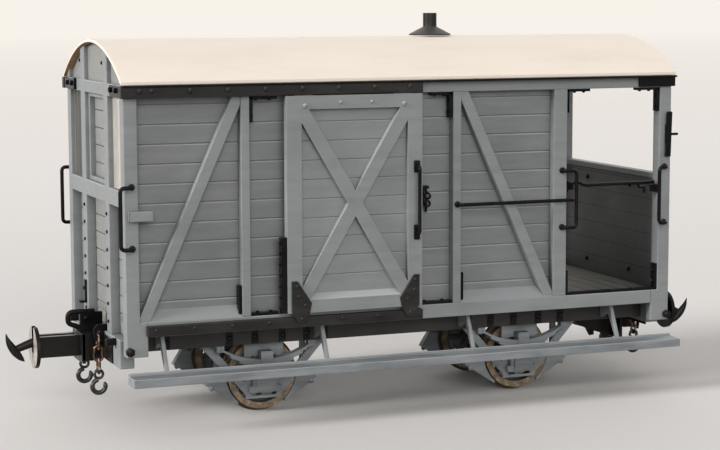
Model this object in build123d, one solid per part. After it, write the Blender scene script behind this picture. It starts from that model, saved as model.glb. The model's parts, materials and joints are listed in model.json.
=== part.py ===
# Model goods brake van, narrow gauge, built as a model at its own size.
# Millimetres. +X runs to the open veranda end, -Y is the side in the picture, +Z up.
# The origin is under the middle of the van, level with the bottoms of the wheel flanges.
import math
import os
from build123d import *

os.makedirs("parts", exist_ok=True)

# overall body
half_len = 120.0
half_wid = 47.5
frame_t = 4.0
plank_t = 2.0
post_w = 5.5
foot_w = 8.6
foot_z = 30.5
rail_bot = 38.2
rail_top = 43.9
cant_bot = 131.0
waist_bot = 88.4
waist_top = 94.9
groove = 0.45
plank_pitch = 7.68
plank_first = 51.4

# roof, a bent sheet
roof_edge = cant_bot + 5.1
roof_apex = roof_edge + 15.5
roof_t = 1.2
roof_over = 1.4
roof_past = 1.2

# chimney, its foot on the crown of the roof
stack_x = 29.0
stack_y = 2.0
stack_r = 2.9
stack_h = 9.9
stack_wall = 0.7
stack_foot_r = 5.6
stack_foot_h = 3.4
stack_rim_h = 1.2
stack_rim_t = 0.5

# side framing
post_a_x = -72.9
post_b_x = 18.1
post_ab_w = 3.6
post_c_x = 64.2
post_c_w = 6.1
door_lap = 3.4
brace_t = 3.6
brace_w = 4.5
brace_foot_in = 2.0
brace_head_in = 1.4
brace_end_in = 1.0
fillet_h = 4.5

# end walls
end_proud = 1.8
end_post_y = 19.2
end_post_w = 6.5
end_rail_h = 5.0
win_edge = 0.6
glass_back = 0.5
glass_t = 0.8
wall_top_b = 91.4
cap_t = 2.4
cap_lap = 0.6
waist_b_h = 5.0

# floor of boards
floor_top = 43.5
floor_bot = 41.0
board_w = 7.0
board_first = 9.0
board_cut = 0.5
board_cut_d = 0.4
board_end = 0.5

# bulkhead between cabin and veranda, and its hinged door
bulk_t = 2.2
way_half = 10.0
way_top = 122.0
leaf_gap = 0.5
leaf_t = 2.0
leaf_lap = 1.0
leaf_top = 1.2
swing_gap = 0.4
hinge_out = 1.6
hinge_gap = 0.3
hinge_t = 1.3
hinge_h = 4.4
hinge_low = 58.0
hinge_high = 108.0
knob_r = 0.9
knob_len = 2.8
knob_y = -7.0
knob_z = 84.0
knob_out = 0.6

# sliding door and its rails
door_x0 = -55.3
door_w = 58.1
door_z0 = 44.4
door_z1 = 130.9
door_gap = 0.4
door_t = 3.4
panel_drop = 2.3
stile = 6.4
stile_top = 5.4
stile_foot = 5.2
door_brace_w = 5.4
tongue_w = 8.0
tongue_in = 4.0
tongue_up = 2.1
rail_t = 3.1
rail_lip = 0.7
rail_past = 1.5
rail_end = 0.6
rail_z0 = 131.3
rail_z1 = 136.0
rail_slot_up = 2.2
rail_slot_end_a = 2.0
rail_slot_end_b = 1.0
track_in = 7.8
track_z0 = 38.9
track_z1 = 42.8
run_gap = 0.3
stop_in = 1.2
stop_len = 9.2
stop_t = 3.6
stop_z = 84.0
stop_h = 3.8

# ironwork of the sliding door, the corner shoe as steps from the door's lower corner
shoe_line = ((1.6, 13.1), (4.0, 13.1), (10.0, 4.0), (9.1, -0.2), (6.9, -3.8), (4.3, -3.8), (1.6, 0.6))
iron_t = 1.2
shoe_t = 0.9
handle_in = 2.6
handle_out = 2.4
handle_r = 0.75
handle_low = 74.5
handle_high = 101.5
handle_plate_w = 2.6
handle_plates = ((99.0, 103.9), (71.7, 77.8))

# underframe
sole_out = 33.6
sole_t = 5.0
sole_bot = 30.0
head_proud = 0.4
head_t = 5.8
head_inset = 9.5
head_top = 36.0
head_bot_a = 24.5
head_bot_b = 28.0
cross_t = 3.2
cross_bot = 33.5
cross_far = 38.0
cross_mid = 24.0
cross_near = 25.0
cross_steps = (cross_far, cross_mid, -cross_near)
knee_y = 12.1
knee_w = 11.0
knee_t = 1.2
knee_bot = 17.5
# steps from the foot of a knee's plate along the curved edge of its web
knee_line = ((-16.5, 6.1), (-9.9, 3.1), (-4.4, 1.4), (-2.2, -2.4), (0, -2.2))
knee_reach = 26.4

# running gear
axle_x = 58.0
flange_r = 16.0
tread_r = 14.5
wheel_back = 20.5
wheel_face = 25.8
flange_w = 1.2
rim_t = 2.6
web_t = 2.0
spoke_w = 1.9
spoke_count = 8
spoke_fillet = 0.5
hub_r = 3.2
axle_r = 2.0
journal_r = 1.6
journal_end = 30.6
fit = 0.05
wheel_seat = 0.02
box_out = 31.6
box_in = 26.8
box_half = 5.2
box_bot = 9.4
box_top = 19.4
box_cover_t = 1.4
box_cover_in = 1.2
box_cover_low = 1.0
box_foot_half = 6.6
box_foot_h = 2.6
box_foot_gap = 0.1
iron_top = 33.4
iron_half = 27.0
iron_arm = 3.9
iron_foot_half = 7.6
iron_foot_z = 6.4
iron_foot_h = 1.6
iron_slot_half = 5.4
iron_slot_bot = 7.6
iron_slot_top = 24.0
iron_web = 3.0
iron_hole_bot = 13.5
iron_hole_top = 29.3
iron_hole_out = 22.5
leaf_r = 36.0
leaf_w = 4.0
leaf_h = 0.9
leaf_y = 30.8
leaf_bot = 23.2
leaf_halves = (19.5, 15.5, 11.5, 7.5)
buckle_half = 2.6
buckle_out = 2.4
buckle_in = 2.1
buckle_top = 26.6
spring_foot_x = 19.6
spring_foot_w = 3.2
spring_foot_half = 1.7
spring_foot_bot = 27.2
block_y0 = 21.9
block_y1 = 25.4
block_line = ((9.0, 17.5), (20.2, 19.0), (24.2, 12.8), (10.0, 3.6))
block_gap = 0.5
block_arm_x = 18.5
block_arm_w = 2.2
block_arm_y0 = 22.4
block_arm_y1 = 24.6
block_arm_bot = 16.0

# footboards and their hangers
step_gap = 1.3
step_w = 9.4
step_z0 = 20.5
step_z1 = 23.9
step_lip = 0.9
step_lip_t = 1.0
hanger_t = 1.7
hanger_leg = 1.6
hanger_out = 8.6
hanger_top = 37.4
hanger_under = 34.0
hanger_root = 31.0
hanger_in_a = 15.7
hanger_in_b = 24.9
hanger_mid_a = -37.4
hanger_mid_b = 27.4

# handrails, grab rails and the veranda bars; bars have eight flats, to keep the faces few
bar_sides = 8
hand_low = 73.2
hand_high = 97.1
hand_out = 3.2
hand_r = 0.8
hand_foot_a = 2.8
hand_past_a = 2.4
hand_foot_c = 2.3
hand_past_c = 2.9
hand_foot_b = 3.0
hand_in_b = 7.0
grab_z = 84.8
grab_r = 0.75
grab_gap = 1.3
bar_in = 2.1
bar_step = 2.3
bar_z = 90.3
bar_r = 0.7
bar_eye_r = 1.15
bar_eye_half = 0.7
bar_eye_in = 0.9
bar_pin_r = 0.6
bar_tip = 0.9
lug_in = 1.3
lug_half = 1.6
lug_h = 2.4
lug_ear_x = 1.2
lug_ear_in = 0.9
lug_ear_h = 1.6
rest_len = 2.5
rest_half = 1.4
rest_bot = 86.2
rest_gap = 0.25
rest_lip = 0.8
rest_lip_t = 0.4
rest_lip_up = 1.0

# drawgear, from the front of the headstock outwards
draw_z = 28.8
disc_out = 26.6
disc_t = 1.6
disc_r = 8.6
shank_out = 8.0
shank_half = 4.2
shank_z0 = 24.8
shank_z1 = 33.3
block_half = 7.5
block_under = 0.2
block_over = 0.1
flange_half = 8.2
flange_z0 = 22.0
flange_z1 = 34.4
slot_half = 1.6
slot_z0 = 26.6
pin_out = 12.6
pin_z = 29.5
pin_r = 1.2
pin_end = 0.6
hook_gap = 0.3
droop_b = 2.4
hook_dip_b = 4.5
guard_z = 41.6
guard_r = 0.95
guard_out = 4.2
guard_foot = 1.6
# steps from the pin of the hook: round from its tail, along the arm, over the point and back under the barb
hook_line = ((-2.4, -1.5), (-2.4, 1.9), (12.0, 3.7), (18.6, 1.5), (20.4, 1.4), (25.0, 5.5), (24.2, 0.9),
             (21.6, -3.3),
             (17.5, -6.3), (17.7, -4.5), (18.2, -2.2), (12.4, -0.5), (2.0, -1.9))

# eye plates and safety chains
chain_y = 12.6
eye_z = 35.0
eye_out = 2.6
eye_tip_out = 4.4
eye_t = 1.6
eye_half = 3.7
eye_cut = 1.6
eye_hole = 1.2
link_wire = 1.2
link_inner = 5.1
link_half = 1.1
chain_links = 3
hang_gap = 0.1
chain_eye_r = 2.3
bowl_r = 3.65
bowl_wire = 1.9
bowl_drop = 2.6
mouth_from = 35
mouth_to = 96

# corner straps and lamp irons
strap_t = 1.2
strap_w = 16.5
strap_len = 16.1
strap_up = 0.4
strap_down = 0.2
lamp_z0 = 99.0
lamp_z1 = 119.5
lamp_w = 3.0
lamp_in = 1.0
lamp_peg_z = 108.6
lamp_peg_h = 1.2
lamp_peg_out = 2.6
lamp_end_z0 = 43.5
lamp_end_h = 13.5


def box(x0, x1, y0, y1, z0, z1):
    """A block between two corners."""
    size = (abs(x1 - x0), abs(y1 - y0), abs(z1 - z0))
    return Pos((x0 + x1) / 2, (y0 + y1) / 2, (z0 + z1) / 2) * Box(*size)


def both(shape):
    """The shape and its mirror on the other side of the van."""
    return [shape, shape.mirror(Plane.XZ)]


def ends(shape):
    """The shape and its mirror at the other end of the van."""
    return [shape, shape.mirror(Plane.YZ)]


def four(shape):
    """The shape at both ends and on both sides."""
    return [s for half in ends(shape) for s in both(half)]


def plate_xz(points, y0, y1):
    """A flat plate with an outline in X and Z, between two Y values."""
    face = make_face(Polyline(*[(x, 0, z) for x, z in points], close=True))
    return Pos(0, max(y0, y1), 0) * extrude(face, amount=abs(y1 - y0), dir=(0, -1, 0))


def plate_yz(points, x0, x1):
    """A flat plate with an outline in Y and Z, between two X values."""
    face = make_face(Polyline(*[(0, y, z) for y, z in points], close=True))
    return Pos(min(x0, x1), 0, 0) * extrude(face, amount=abs(x1 - x0), dir=(1, 0, 0))


def turned(points):
    """A solid of revolution about Z from an outline of radius and height."""
    return revolve(make_face(Polyline(*[(r, 0, z) for r, z in points], close=True)), axis=Axis.Z)


def bar(points, r):
    """A bar of eight flats along a run of points, with mitred corners."""
    path = Polyline(*points) if len(points) > 2 else Line(*points)
    section = Plane(origin=path @ 0, z_dir=path % 0) * RegularPolygon(r, bar_sides)
    return sweep(section, path=path, transition=Transition.RIGHT)


def along_y(r, y0, y1, x, z):
    """A round bar lying across the van."""
    return Pos(x, (y0 + y1) / 2, z) * Rot(90, 0, 0) * Cylinder(r, abs(y1 - y0))


def flats_y(r, sides, y0, y1, x, z):
    """A many-sided bar lying across the van."""
    turn = Pos(x, max(y0, y1), z) * Rot(90, 0, 0)
    return turn * extrude(RegularPolygon(r, sides), amount=abs(y1 - y0))


def save(name, shapes):
    """Writes one node, one or several separate solids."""
    solids = []
    for shape in shapes if isinstance(shapes, list) else [shapes]:
        solids.extend(shape.solids())
    export_step(solids[0] if len(solids) == 1 else Compound(children=solids), "parts/" + name + ".step")


# the curve of the roof underside, used to cut whatever meets it
far_cut = 4 * half_len
roof_half = half_wid + roof_over
roof_end = half_len + roof_past
rise = roof_apex - roof_edge
roof_r = (roof_half ** 2 + rise ** 2) / (2 * rise)
roof_mid = roof_apex - roof_r


def under_roof(r, length):
    """A long round bar whose top is the roof curve."""
    return Pos(0, 0, roof_mid) * Rot(0, 90, 0) * Cylinder(r, length)


under = under_roof(roof_r, far_cut)
sheet = under_roof(roof_r + roof_t, 2 * roof_end) - under
sheet = sheet & box(-roof_end, roof_end, -roof_half, roof_half, roof_edge - 4 * roof_t, far_cut)
save("roof", sheet)

# chimney, a pipe with a flared foot and a rim, open at the top
stack = turned([(0, 0), (stack_foot_r, 0), (stack_r, stack_foot_h), (stack_r, stack_h - stack_rim_h),
                (stack_r + stack_rim_t, stack_h - stack_rim_h), (stack_r + stack_rim_t, stack_h),
                (stack_r - stack_wall, stack_h), (stack_r - stack_wall, stack_foot_h), (0, stack_foot_h)])
save("chimney", Pos(stack_x, stack_y, roof_apex + roof_t) * stack)

# boarded side walls, with a small v groove at each joint
plank_lines = [plank_first + i * plank_pitch for i in range(int((roof_apex - plank_first) / plank_pitch) + 1)]


def planks(z0, z1, out, back):
    """Section of a boarded wall, plain at the back."""
    points = [(back, z0), (out, z0)]
    step = math.copysign(groove, back - out)
    for z in plank_lines:
        if z0 + 2 * groove < z < z1 - 2 * groove:
            points += [(out, z - groove), (out + step, z), (out, z + groove)]
    return points + [(out, z1), (back, z1)]


plank_out = half_wid - frame_t
plank_in = plank_out - plank_t
corner_in = half_wid - post_w
door_x1 = door_x0 + door_w
doorway_x0 = door_x0 + door_lap
doorway_x1 = door_x1 - door_lap
post_c_end = post_c_x + post_c_w
side_section = planks(rail_bot, roof_apex, -plank_out, -plank_in)
side_runs = ((-half_len + post_w, doorway_x0), (doorway_x1, post_c_x))
save("side_planks", [s for a, b in side_runs for s in both(plate_yz(side_section, a, b) & under)])

# side framing
cant = box(-half_len, half_len, -half_wid, -plank_out, cant_bot, roof_apex) & under
save("cant_rails", both(cant))
sill = box(-half_len + foot_w, half_len - foot_w, -half_wid, -plank_out, rail_bot, rail_top)
save("bottom_rails", both(sill))
upright_rows = ((post_a_x, post_ab_w), (post_b_x, post_ab_w), (post_c_x, post_c_w))
uprights = [box(x, x + w, -half_wid, -plank_out, rail_top, cant_bot) for x, w in upright_rows]
save("side_uprights", [s for post in uprights for s in both(post)])
corner = box(-half_len, -half_len + post_w, -half_wid, -corner_in, foot_z, cant_bot)
corner = corner + box(-half_len, -half_len + foot_w, -half_wid, -plank_out, foot_z, rail_top)
save("corner_posts", four(corner))


def brace(x0, z0, x1, z1, wide, y0, y1, clip):
    """A slanting bar of even width, cut off square inside a window."""
    run = math.hypot(x1 - x0, z1 - z0)
    nx, nz = -(z1 - z0) / run * wide / 2, (x1 - x0) / run * wide / 2
    ex, ez = (x1 - x0) / run * wide * 2, (z1 - z0) / run * wide * 2
    strip = plate_xz(
        [(x0 - ex + nx, z0 - ez + nz), (x1 + ex + nx, z1 + ez + nz),
         (x1 + ex - nx, z1 + ez - nz), (x0 - ex - nx, z0 - ez - nz)], y0, y1)
    return strip & box(clip[0], clip[1], y0, y1, clip[2], clip[3])


# braces rise from the foot of each end bay to the head of the upright by the door
bays = ((-half_len + post_w, post_a_x, -1), (post_b_x + post_ab_w, post_c_x, 1))
braces, fillets = [], []
for x0, x1, lean in bays:
    foot_x = x0 + brace_foot_in if lean < 0 else x1 - brace_foot_in
    head_x = x1 - brace_head_in if lean < 0 else x0 + brace_head_in
    slant = brace(foot_x, rail_top + brace_end_in, head_x, cant_bot - brace_end_in, brace_w,
                  -plank_out - brace_t, -plank_out, (x0, x1, rail_top, cant_bot))
    braces += both(slant)
    wedge = [(-half_wid, rail_top), (-plank_out, rail_top), (-plank_out, rail_top + fillet_h)]
    fillets += [s for piece in (plate_yz(wedge, x0, x1) - slant).solids() for s in both(piece)]
save("side_braces", braces)
save("sill_fillets", fillets)

# cabin end: boards, frame and two windows
end_out = half_len - end_proud
end_in = end_out - plank_t
win_y0 = end_post_y + end_post_w / 2
win_y1 = corner_in - win_edge


def end_wall(z0, z1):
    """Boards across one end, grooved outside, at the cabin end."""
    face = make_face(Polyline(*[(x, 0, z) for x, z in planks(z0, z1, -end_out, -end_in)], close=True))
    return Pos(0, corner_in, 0) * extrude(face, amount=2 * corner_in, dir=(0, -1, 0))


wall_a = end_wall(head_top, roof_apex) + box(-end_out, -end_in, -plank_out, plank_out, cant_bot, roof_apex)
wall_a = wall_a & under
panes = []
for s in (-1, 1):
    wall_a = wall_a - box(-half_len, -end_in + plank_t, s * win_y0, s * win_y1, waist_top, cant_bot)
    glass_x = -end_out + glass_back
    panes.append(box(glass_x, glass_x + glass_t, s * win_y0, s * win_y1, waist_top, cant_bot))
save("cabin_end_boards", wall_a)
save("cabin_windows", panes)


def end_posts(z1):
    """Two posts on the outside of an end wall, at the cabin end."""
    pair = [box(-half_len, -end_out, s * end_post_y - end_post_w / 2, s * end_post_y + end_post_w / 2,
                head_top, z1)
            for s in (-1, 1)]
    return pair[0] + pair[1]


end_frame = end_posts(roof_apex) & under
end_frame = end_frame + box(-half_len, -end_out, -corner_in, corner_in, waist_bot, waist_top)
end_frame = end_frame + box(-half_len, -end_out, -plank_out, plank_out, cant_bot, cant_bot + end_rail_h)
save("cabin_end_frame", end_frame)

# veranda end: a wall to waist height under a cap, and a board under the roof
save("veranda_end_boards", end_wall(head_top, wall_top_b).mirror(Plane.YZ))
frame_b = end_posts(wall_top_b).mirror(Plane.YZ)
frame_b = frame_b + box(end_in - cap_lap, half_len, -corner_in, corner_in, wall_top_b, wall_top_b + cap_t)
frame_b = frame_b + box(end_out, half_len, -corner_in, corner_in, wall_top_b - waist_b_h, wall_top_b)
save("veranda_end_frame", frame_b)
save("veranda_arch", box(end_in, half_len, -plank_out, plank_out, cant_bot, roof_apex) & under)

# floor, with the joints of its boards cut in the veranda
floor = box(-end_in, end_in, -plank_in, plank_in, floor_bot, floor_top)
floor = floor + box(post_c_x, half_len - post_w, -plank_out, plank_out, floor_bot, floor_top)
joint_half = plank_in - board_end
joints = int((end_in - post_c_x - board_first) / board_w) + 1
for i in range(joints):
    x = post_c_x + board_first + i * board_w
    cut = box(x, x + board_cut, -joint_half, joint_half, floor_top - board_cut_d, floor_top + board_cut_d)
    floor = floor - Pos(-board_cut / 2, 0, 0) * cut
save("floor", floor)

# underframe
sole_in = sole_out - sole_t
head_front = half_len + head_proud
head_back = head_front - head_t
head_half = half_wid - head_inset
save("solebars", both(box(-head_back, head_back, -sole_out, -sole_in, sole_bot, floor_bot)))
save("headstocks", [box(-head_front, -head_back, -head_half, head_half, head_bot_a, head_top),
                    box(head_back, head_front, -head_half, head_half, head_bot_b, head_top)])
bearer = box(-cross_t / 2, cross_t / 2, -sole_in, sole_in, cross_bot, floor_bot)
bearers = [bearer]
for step in cross_steps:
    bearers += ends(Pos(axle_x + step, 0, 0) * bearer)
save("cross_bearers", bearers)

# knees that stiffen the headstock at the veranda end: a back plate with a curved web
knee_x = head_back - knee_t
knee = box(knee_x, head_back, -knee_y - knee_w / 2, -knee_y + knee_w / 2, knee_bot, head_top)
knee_edge = [(knee_x + x, knee_bot + z) for x, z in knee_line]
knee_web = plate_xz([(knee_x, cross_bot), (knee_x - knee_reach, cross_bot)] + knee_edge,
                    -knee_y + knee_w / 2 - knee_t, -knee_y + knee_w / 2)
save("headstock_knees", both(knee + knee_web))

# bulkhead with a doorway, its door on two hinges
bulk_x1 = post_c_x + bulk_t
bulk = box(post_c_x, bulk_x1, -plank_out, plank_out, floor_top, roof_apex) & under
save("bulkhead", bulk - box(post_c_x - bulk_t, bulk_x1 + bulk_t, -way_half, way_half, floor_bot, way_top))
leaf_x0 = bulk_x1 + leaf_gap
leaf_x1 = leaf_x0 + leaf_t
hinge_y = way_half + hinge_out
leaf = box(leaf_x0, leaf_x1, -way_half - leaf_lap, hinge_y, floor_top + swing_gap, way_top + leaf_top)
leaf = leaf + along_y(knob_r, knob_y - knob_len / 2, knob_y + knob_len / 2, leaf_x1 + knob_out, knob_z)
save("bulkhead_door", leaf)
save("bulkhead_hinges", [box(bulk_x1, leaf_x1 - hinge_gap, hinge_y + hinge_gap, hinge_y + hinge_gap + hinge_t,
                             z - hinge_h / 2, z + hinge_h / 2) for z in (hinge_low, hinge_high)])

# rails that carry the sliding doors: a grooved one above, a plain track below, and a stop on the post
rail_out = half_wid + rail_t
rail_x0 = -half_len - rail_past
rail_x1 = door_x1 + rail_end
slot_in = half_wid + rail_lip
slot_out = rail_out - rail_lip
top_rail = box(rail_x0, rail_x1, -rail_out, -half_wid, rail_z0, rail_z1)
top_rail = top_rail - box(rail_x0 + rail_slot_end_a, rail_x1 - rail_slot_end_b, -slot_out, -slot_in,
                          rail_z0 - rail_slot_up, rail_z0 + rail_slot_up)
save("door_rails", both(top_rail))
save("door_tracks", both(box(-half_len + track_in, rail_x1, -rail_out, -half_wid, track_z0, track_z1)))
stop_x = -half_len + stop_in
save("door_stops", both(box(stop_x, stop_x + stop_len, -half_wid - stop_t, -half_wid, stop_z,
                            stop_z + stop_h)))

# sliding door: framed, boarded and cross braced, hung by two tongues in the groove of its rail
door_back = half_wid + door_gap
door_face = door_back + door_t
panel_face = door_face - panel_drop
in_x0, in_x1 = door_x0 + stile, door_x1 - stile
in_z0, in_z1 = door_z0 + stile_foot, door_z1 - stile_top
sunk_foot = in_z0 + panel_drop
door = box(door_x0, door_x1, -door_face, -door_back, door_z0, door_z1)
door = door - plate_yz([(-door_face - door_t, in_z0 - door_t), (-panel_face, sunk_foot), (-panel_face, in_z1),
                        (-door_face - door_t, in_z1)], in_x0, in_x1)
for z in plank_lines:
    if sunk_foot < z < in_z1:
        door = door - plate_yz([(-panel_face - groove, z - groove), (-panel_face + groove, z),
                                (-panel_face - groove, z + groove)], in_x0, in_x1)
for z0, z1 in ((in_z0, in_z1), (in_z1, in_z0)):
    door = door + brace(in_x0, z0, in_x1, z1, door_brace_w, -door_face, -panel_face,
                        (in_x0, in_x1, in_z0, in_z1))
for x in (door_x0 + tongue_in, door_x1 - tongue_in - tongue_w):
    door = door + box(x, x + tongue_w, -slot_out + run_gap, -slot_in - run_gap, door_z1, door_z1 + tongue_up)
save("door_near", door)
save("door_far", door.mirror(Plane.XZ))

# corner shoes that lap over the bottom track, and the handle with its two foot plates
shoe_y = -door_face - shoe_t
shoes = [plate_xz([(door_x0 + x, door_z0 + z) for x, z in shoe_line], shoe_y, -door_face),
         plate_xz([(door_x1 - x, door_z0 + z) for x, z in shoe_line], shoe_y, -door_face)]
handle_x = door_x1 - handle_in
handle = bar([(handle_x, shoe_y, handle_high), (handle_x, shoe_y - handle_out, handle_high),
              (handle_x, shoe_y - handle_out, handle_low), (handle_x, shoe_y, handle_low)], handle_r)
for z0, z1 in handle_plates:
    handle = handle + box(handle_x - handle_plate_w / 2, handle_x + handle_plate_w / 2, shoe_y, -door_face,
                          z0, z1)
irons = shoes + [handle]
save("door_near_irons", irons)
save("door_far_irons", [s.mirror(Plane.XZ) for s in irons])

# wheels: tyre, flange and hub turned as one with a thin web, then cut between the spokes
rim_in = tread_r - rim_t
wheel = turned([(axle_r + wheel_seat, 0), (flange_r, 0), (flange_r, flange_w), (tread_r, flange_w),
                (tread_r, wheel_face - wheel_back), (rim_in, wheel_face - wheel_back), (rim_in, web_t),
                (hub_r, web_t),
                (hub_r, wheel_face - wheel_back), (axle_r + wheel_seat, wheel_face - wheel_back)])
for i in range(spoke_count):
    mid = 2 * math.pi * (i + 0.5) / spoke_count
    r0, r1 = hub_r + spoke_fillet, rim_in - spoke_fillet
    a0, a1 = (math.pi / spoke_count - math.asin(spoke_w / 2 / r) for r in (r0, r1))
    corners = [(r0, -a0), (r1, -a1), (r1, 0), (r1, a1), (r0, a0)]
    outline = [(r * math.cos(mid + a), r * math.sin(mid + a), 0) for r, a in corners]
    wheel = wheel - extrude(make_face(Polyline(*outline, close=True)), amount=web_t, dir=(0, 0, 1))
outward = Pos(0, -wheel_back, flange_r) * Rot(90, 0, 0) * wheel
axle = along_y(axle_r, -wheel_face, wheel_face, 0, flange_r)
axle = axle + along_y(journal_r, -journal_end, journal_end, 0, flange_r)
for tag, x in (("a", -axle_x), ("b", axle_x)):
    save("wheelset_" + tag, [Pos(x, 0, 0) * s for s in both(outward)])
    save("axle_" + tag, Pos(x, 0, 0) * axle)

# axle guards, axleboxes, springs and brake blocks, drawn about one axle and repeated four times
iron_y0 = -sole_in
iron_y1 = -sole_in + iron_t
w_iron = plate_xz([(-iron_half, iron_top), (iron_half, iron_top), (iron_half, iron_top - iron_arm),
                  (iron_foot_half, iron_foot_z + iron_foot_h), (iron_foot_half, iron_foot_z),
                  (-iron_foot_half, iron_foot_z), (-iron_foot_half, iron_foot_z + iron_foot_h),
                  (-iron_half, iron_top - iron_arm)], iron_y0, iron_y1)
w_iron = w_iron - box(-iron_slot_half, iron_slot_half, iron_y0 - iron_t, iron_y1 + iron_t, iron_slot_bot,
                      iron_slot_top)
hole_x = iron_slot_half + iron_web
for s in (-1, 1):
    w_iron = w_iron - plate_xz([(s * hole_x, iron_hole_bot), (s * iron_hole_out, iron_hole_top),
                                (s * hole_x, iron_hole_top)],
                             iron_y0 - iron_t, iron_y1 + iron_t)

case = box(-box_half, box_half, -box_out, -box_in, box_bot, box_top)
case = case + box(-box_half + box_cover_in, box_half - box_cover_in, -box_out - box_cover_t, -box_out,
                  box_bot + box_cover_low, box_top - box_cover_t)
case = case + box(-box_foot_half, box_foot_half, -box_out, iron_y0 - box_foot_gap, box_bot,
                  box_bot + box_foot_h)
case = case - along_y(journal_r + fit, -journal_end - box_foot_gap * 4, -box_in + iron_t, 0, flange_r)

leaves = box(-buckle_half, buckle_half, -leaf_y - buckle_out, -leaf_y + buckle_in, box_top, buckle_top)
for i, half in enumerate(leaf_halves):
    r = leaf_r + leaf_h * i
    ring = along_y(r + leaf_h, -leaf_y - leaf_w / 2, -leaf_y + leaf_w / 2, 0, leaf_bot + leaf_r)
    ring = ring - along_y(r, -leaf_y - leaf_w, -leaf_y + leaf_w, 0, leaf_bot + leaf_r)
    span = box(-half, half, -leaf_y - leaf_w, -leaf_y + leaf_w, box_top - leaf_h, sole_bot)
    leaves = leaves + (ring & span)
for s in (-1, 1):
    leaves = leaves + box(s * spring_foot_x - spring_foot_w / 2, s * spring_foot_x + spring_foot_w / 2,
                      -leaf_y - spring_foot_half, -leaf_y + spring_foot_half, spring_foot_bot, sole_bot)

blocks = []
for s in (-1, 1):
    block = plate_xz([(s * x, z) for x, z in block_line], -block_y1, -block_y0)
    block = block - along_y(tread_r + block_gap, -block_y1 - block_gap, -block_y0 + block_gap, 0, flange_r)
    arm_x = s * block_arm_x
    blocks.append(block + box(arm_x - block_arm_w / 2, arm_x + block_arm_w / 2, -block_arm_y1, -block_arm_y0,
                              block_arm_bot, floor_bot))

for name, pieces in (("w_irons", [w_iron]), ("axleboxes", [case]), ("springs", [leaves]),
                     ("brake_gear", blocks)):
    save(name, [s for piece in pieces for x in (-axle_x, axle_x) for s in both(Pos(x, 0, 0) * piece)])

# footboards on their hangers
step_in = half_wid + step_gap
step_out = step_in + step_w
board = box(-half_len, half_len, -step_out, -step_in, step_z0, step_z1)
board = board + box(-half_len, half_len, -step_in - step_lip_t, -step_in, step_z1, step_z1 + step_lip)
save("footboards", both(board))
hanger_y = -sole_out - hanger_out
hanger = plate_yz([(-sole_out, hanger_top), (hanger_y, hanger_top), (-step_in, step_z1), (-step_in, step_z0),
                   (-step_in + hanger_leg, step_z0), (-step_in + hanger_leg, step_z1),
                   (hanger_y + hanger_leg, hanger_under), (-sole_out, hanger_root)],
                  -hanger_t / 2, hanger_t / 2)
hanger_x = (-half_len + hanger_in_a, hanger_mid_a, hanger_mid_b, half_len - hanger_in_b)
save("footboard_hangers", [s for x in hanger_x for s in both(Pos(x, 0, 0) * hanger)])

# handrails: feet on the framing, the bar set off to one side
hand_rows = ((-half_len + hand_foot_a, -half_len - hand_past_a),
             (post_c_end - hand_foot_c, post_c_end + hand_past_c),
             (half_len - hand_foot_b, half_len - hand_in_b))
hand_y = -half_wid - hand_out
hand_rails = []
for foot_x, bar_x in hand_rows:
    hand_rails += both(bar([(foot_x, -half_wid, hand_high), (foot_x, hand_y, hand_high),
                            (bar_x, hand_y, hand_high),
                            (bar_x, hand_y, hand_low), (foot_x, hand_y, hand_low),
                            (foot_x, -half_wid, hand_low)], hand_r))
save("handrails", hand_rails)
grab_x0 = post_b_x + post_ab_w / 2
grab_x1 = post_c_end + hand_past_c - grab_gap
save("grab_rails", both(bar([(grab_x0, -half_wid, grab_z), (grab_x0, hand_y, grab_z),
                             (grab_x1, hand_y, grab_z)], grab_r)))

# hinged safety bars across the veranda openings, each in a forked lug and on a lipped rest
bar_y = -half_wid + bar_in
bar_x = post_c_end + bar_step
lug = box(post_c_end, bar_x - lug_in, bar_y - lug_half, bar_y + lug_half, bar_z - lug_h, bar_z + lug_h)
for s in (-1, 1):
    lug = lug + box(post_c_end, bar_x + lug_ear_x, bar_y + s * lug_ear_in, bar_y + s * lug_half,
                    bar_z - lug_ear_h, bar_z + lug_ear_h)
lug = lug + along_y(bar_pin_r, bar_y - lug_half, bar_y + lug_half, bar_x, bar_z)
save("bar_lugs", both(lug))
rest_x1 = half_len - post_w
rest_x0 = rest_x1 - rest_len
rest = box(rest_x0, rest_x1, bar_y - rest_half, bar_y + rest_half, rest_bot, bar_z - bar_r - rest_gap)
rest = rest + box(rest_x0, rest_x0 + rest_lip, bar_y - rest_half, bar_y - rest_half + rest_lip_t, rest_bot,
                  bar_z + rest_lip_up)
save("bar_rests", both(rest))
swing_bar = along_y(bar_eye_r, bar_y - bar_eye_half, bar_y + bar_eye_half, bar_x, bar_z)
swing_bar = swing_bar + bar([(bar_x + bar_eye_in, bar_y, bar_z), (rest_x1 - bar_tip, bar_y, bar_z)], bar_r)
swing_bar = swing_bar - along_y(bar_pin_r + fit, bar_y - lug_half, bar_y + lug_half, bar_x, bar_z)
save("bar_near", swing_bar)
save("bar_far", swing_bar.mirror(Plane.XZ))

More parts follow.
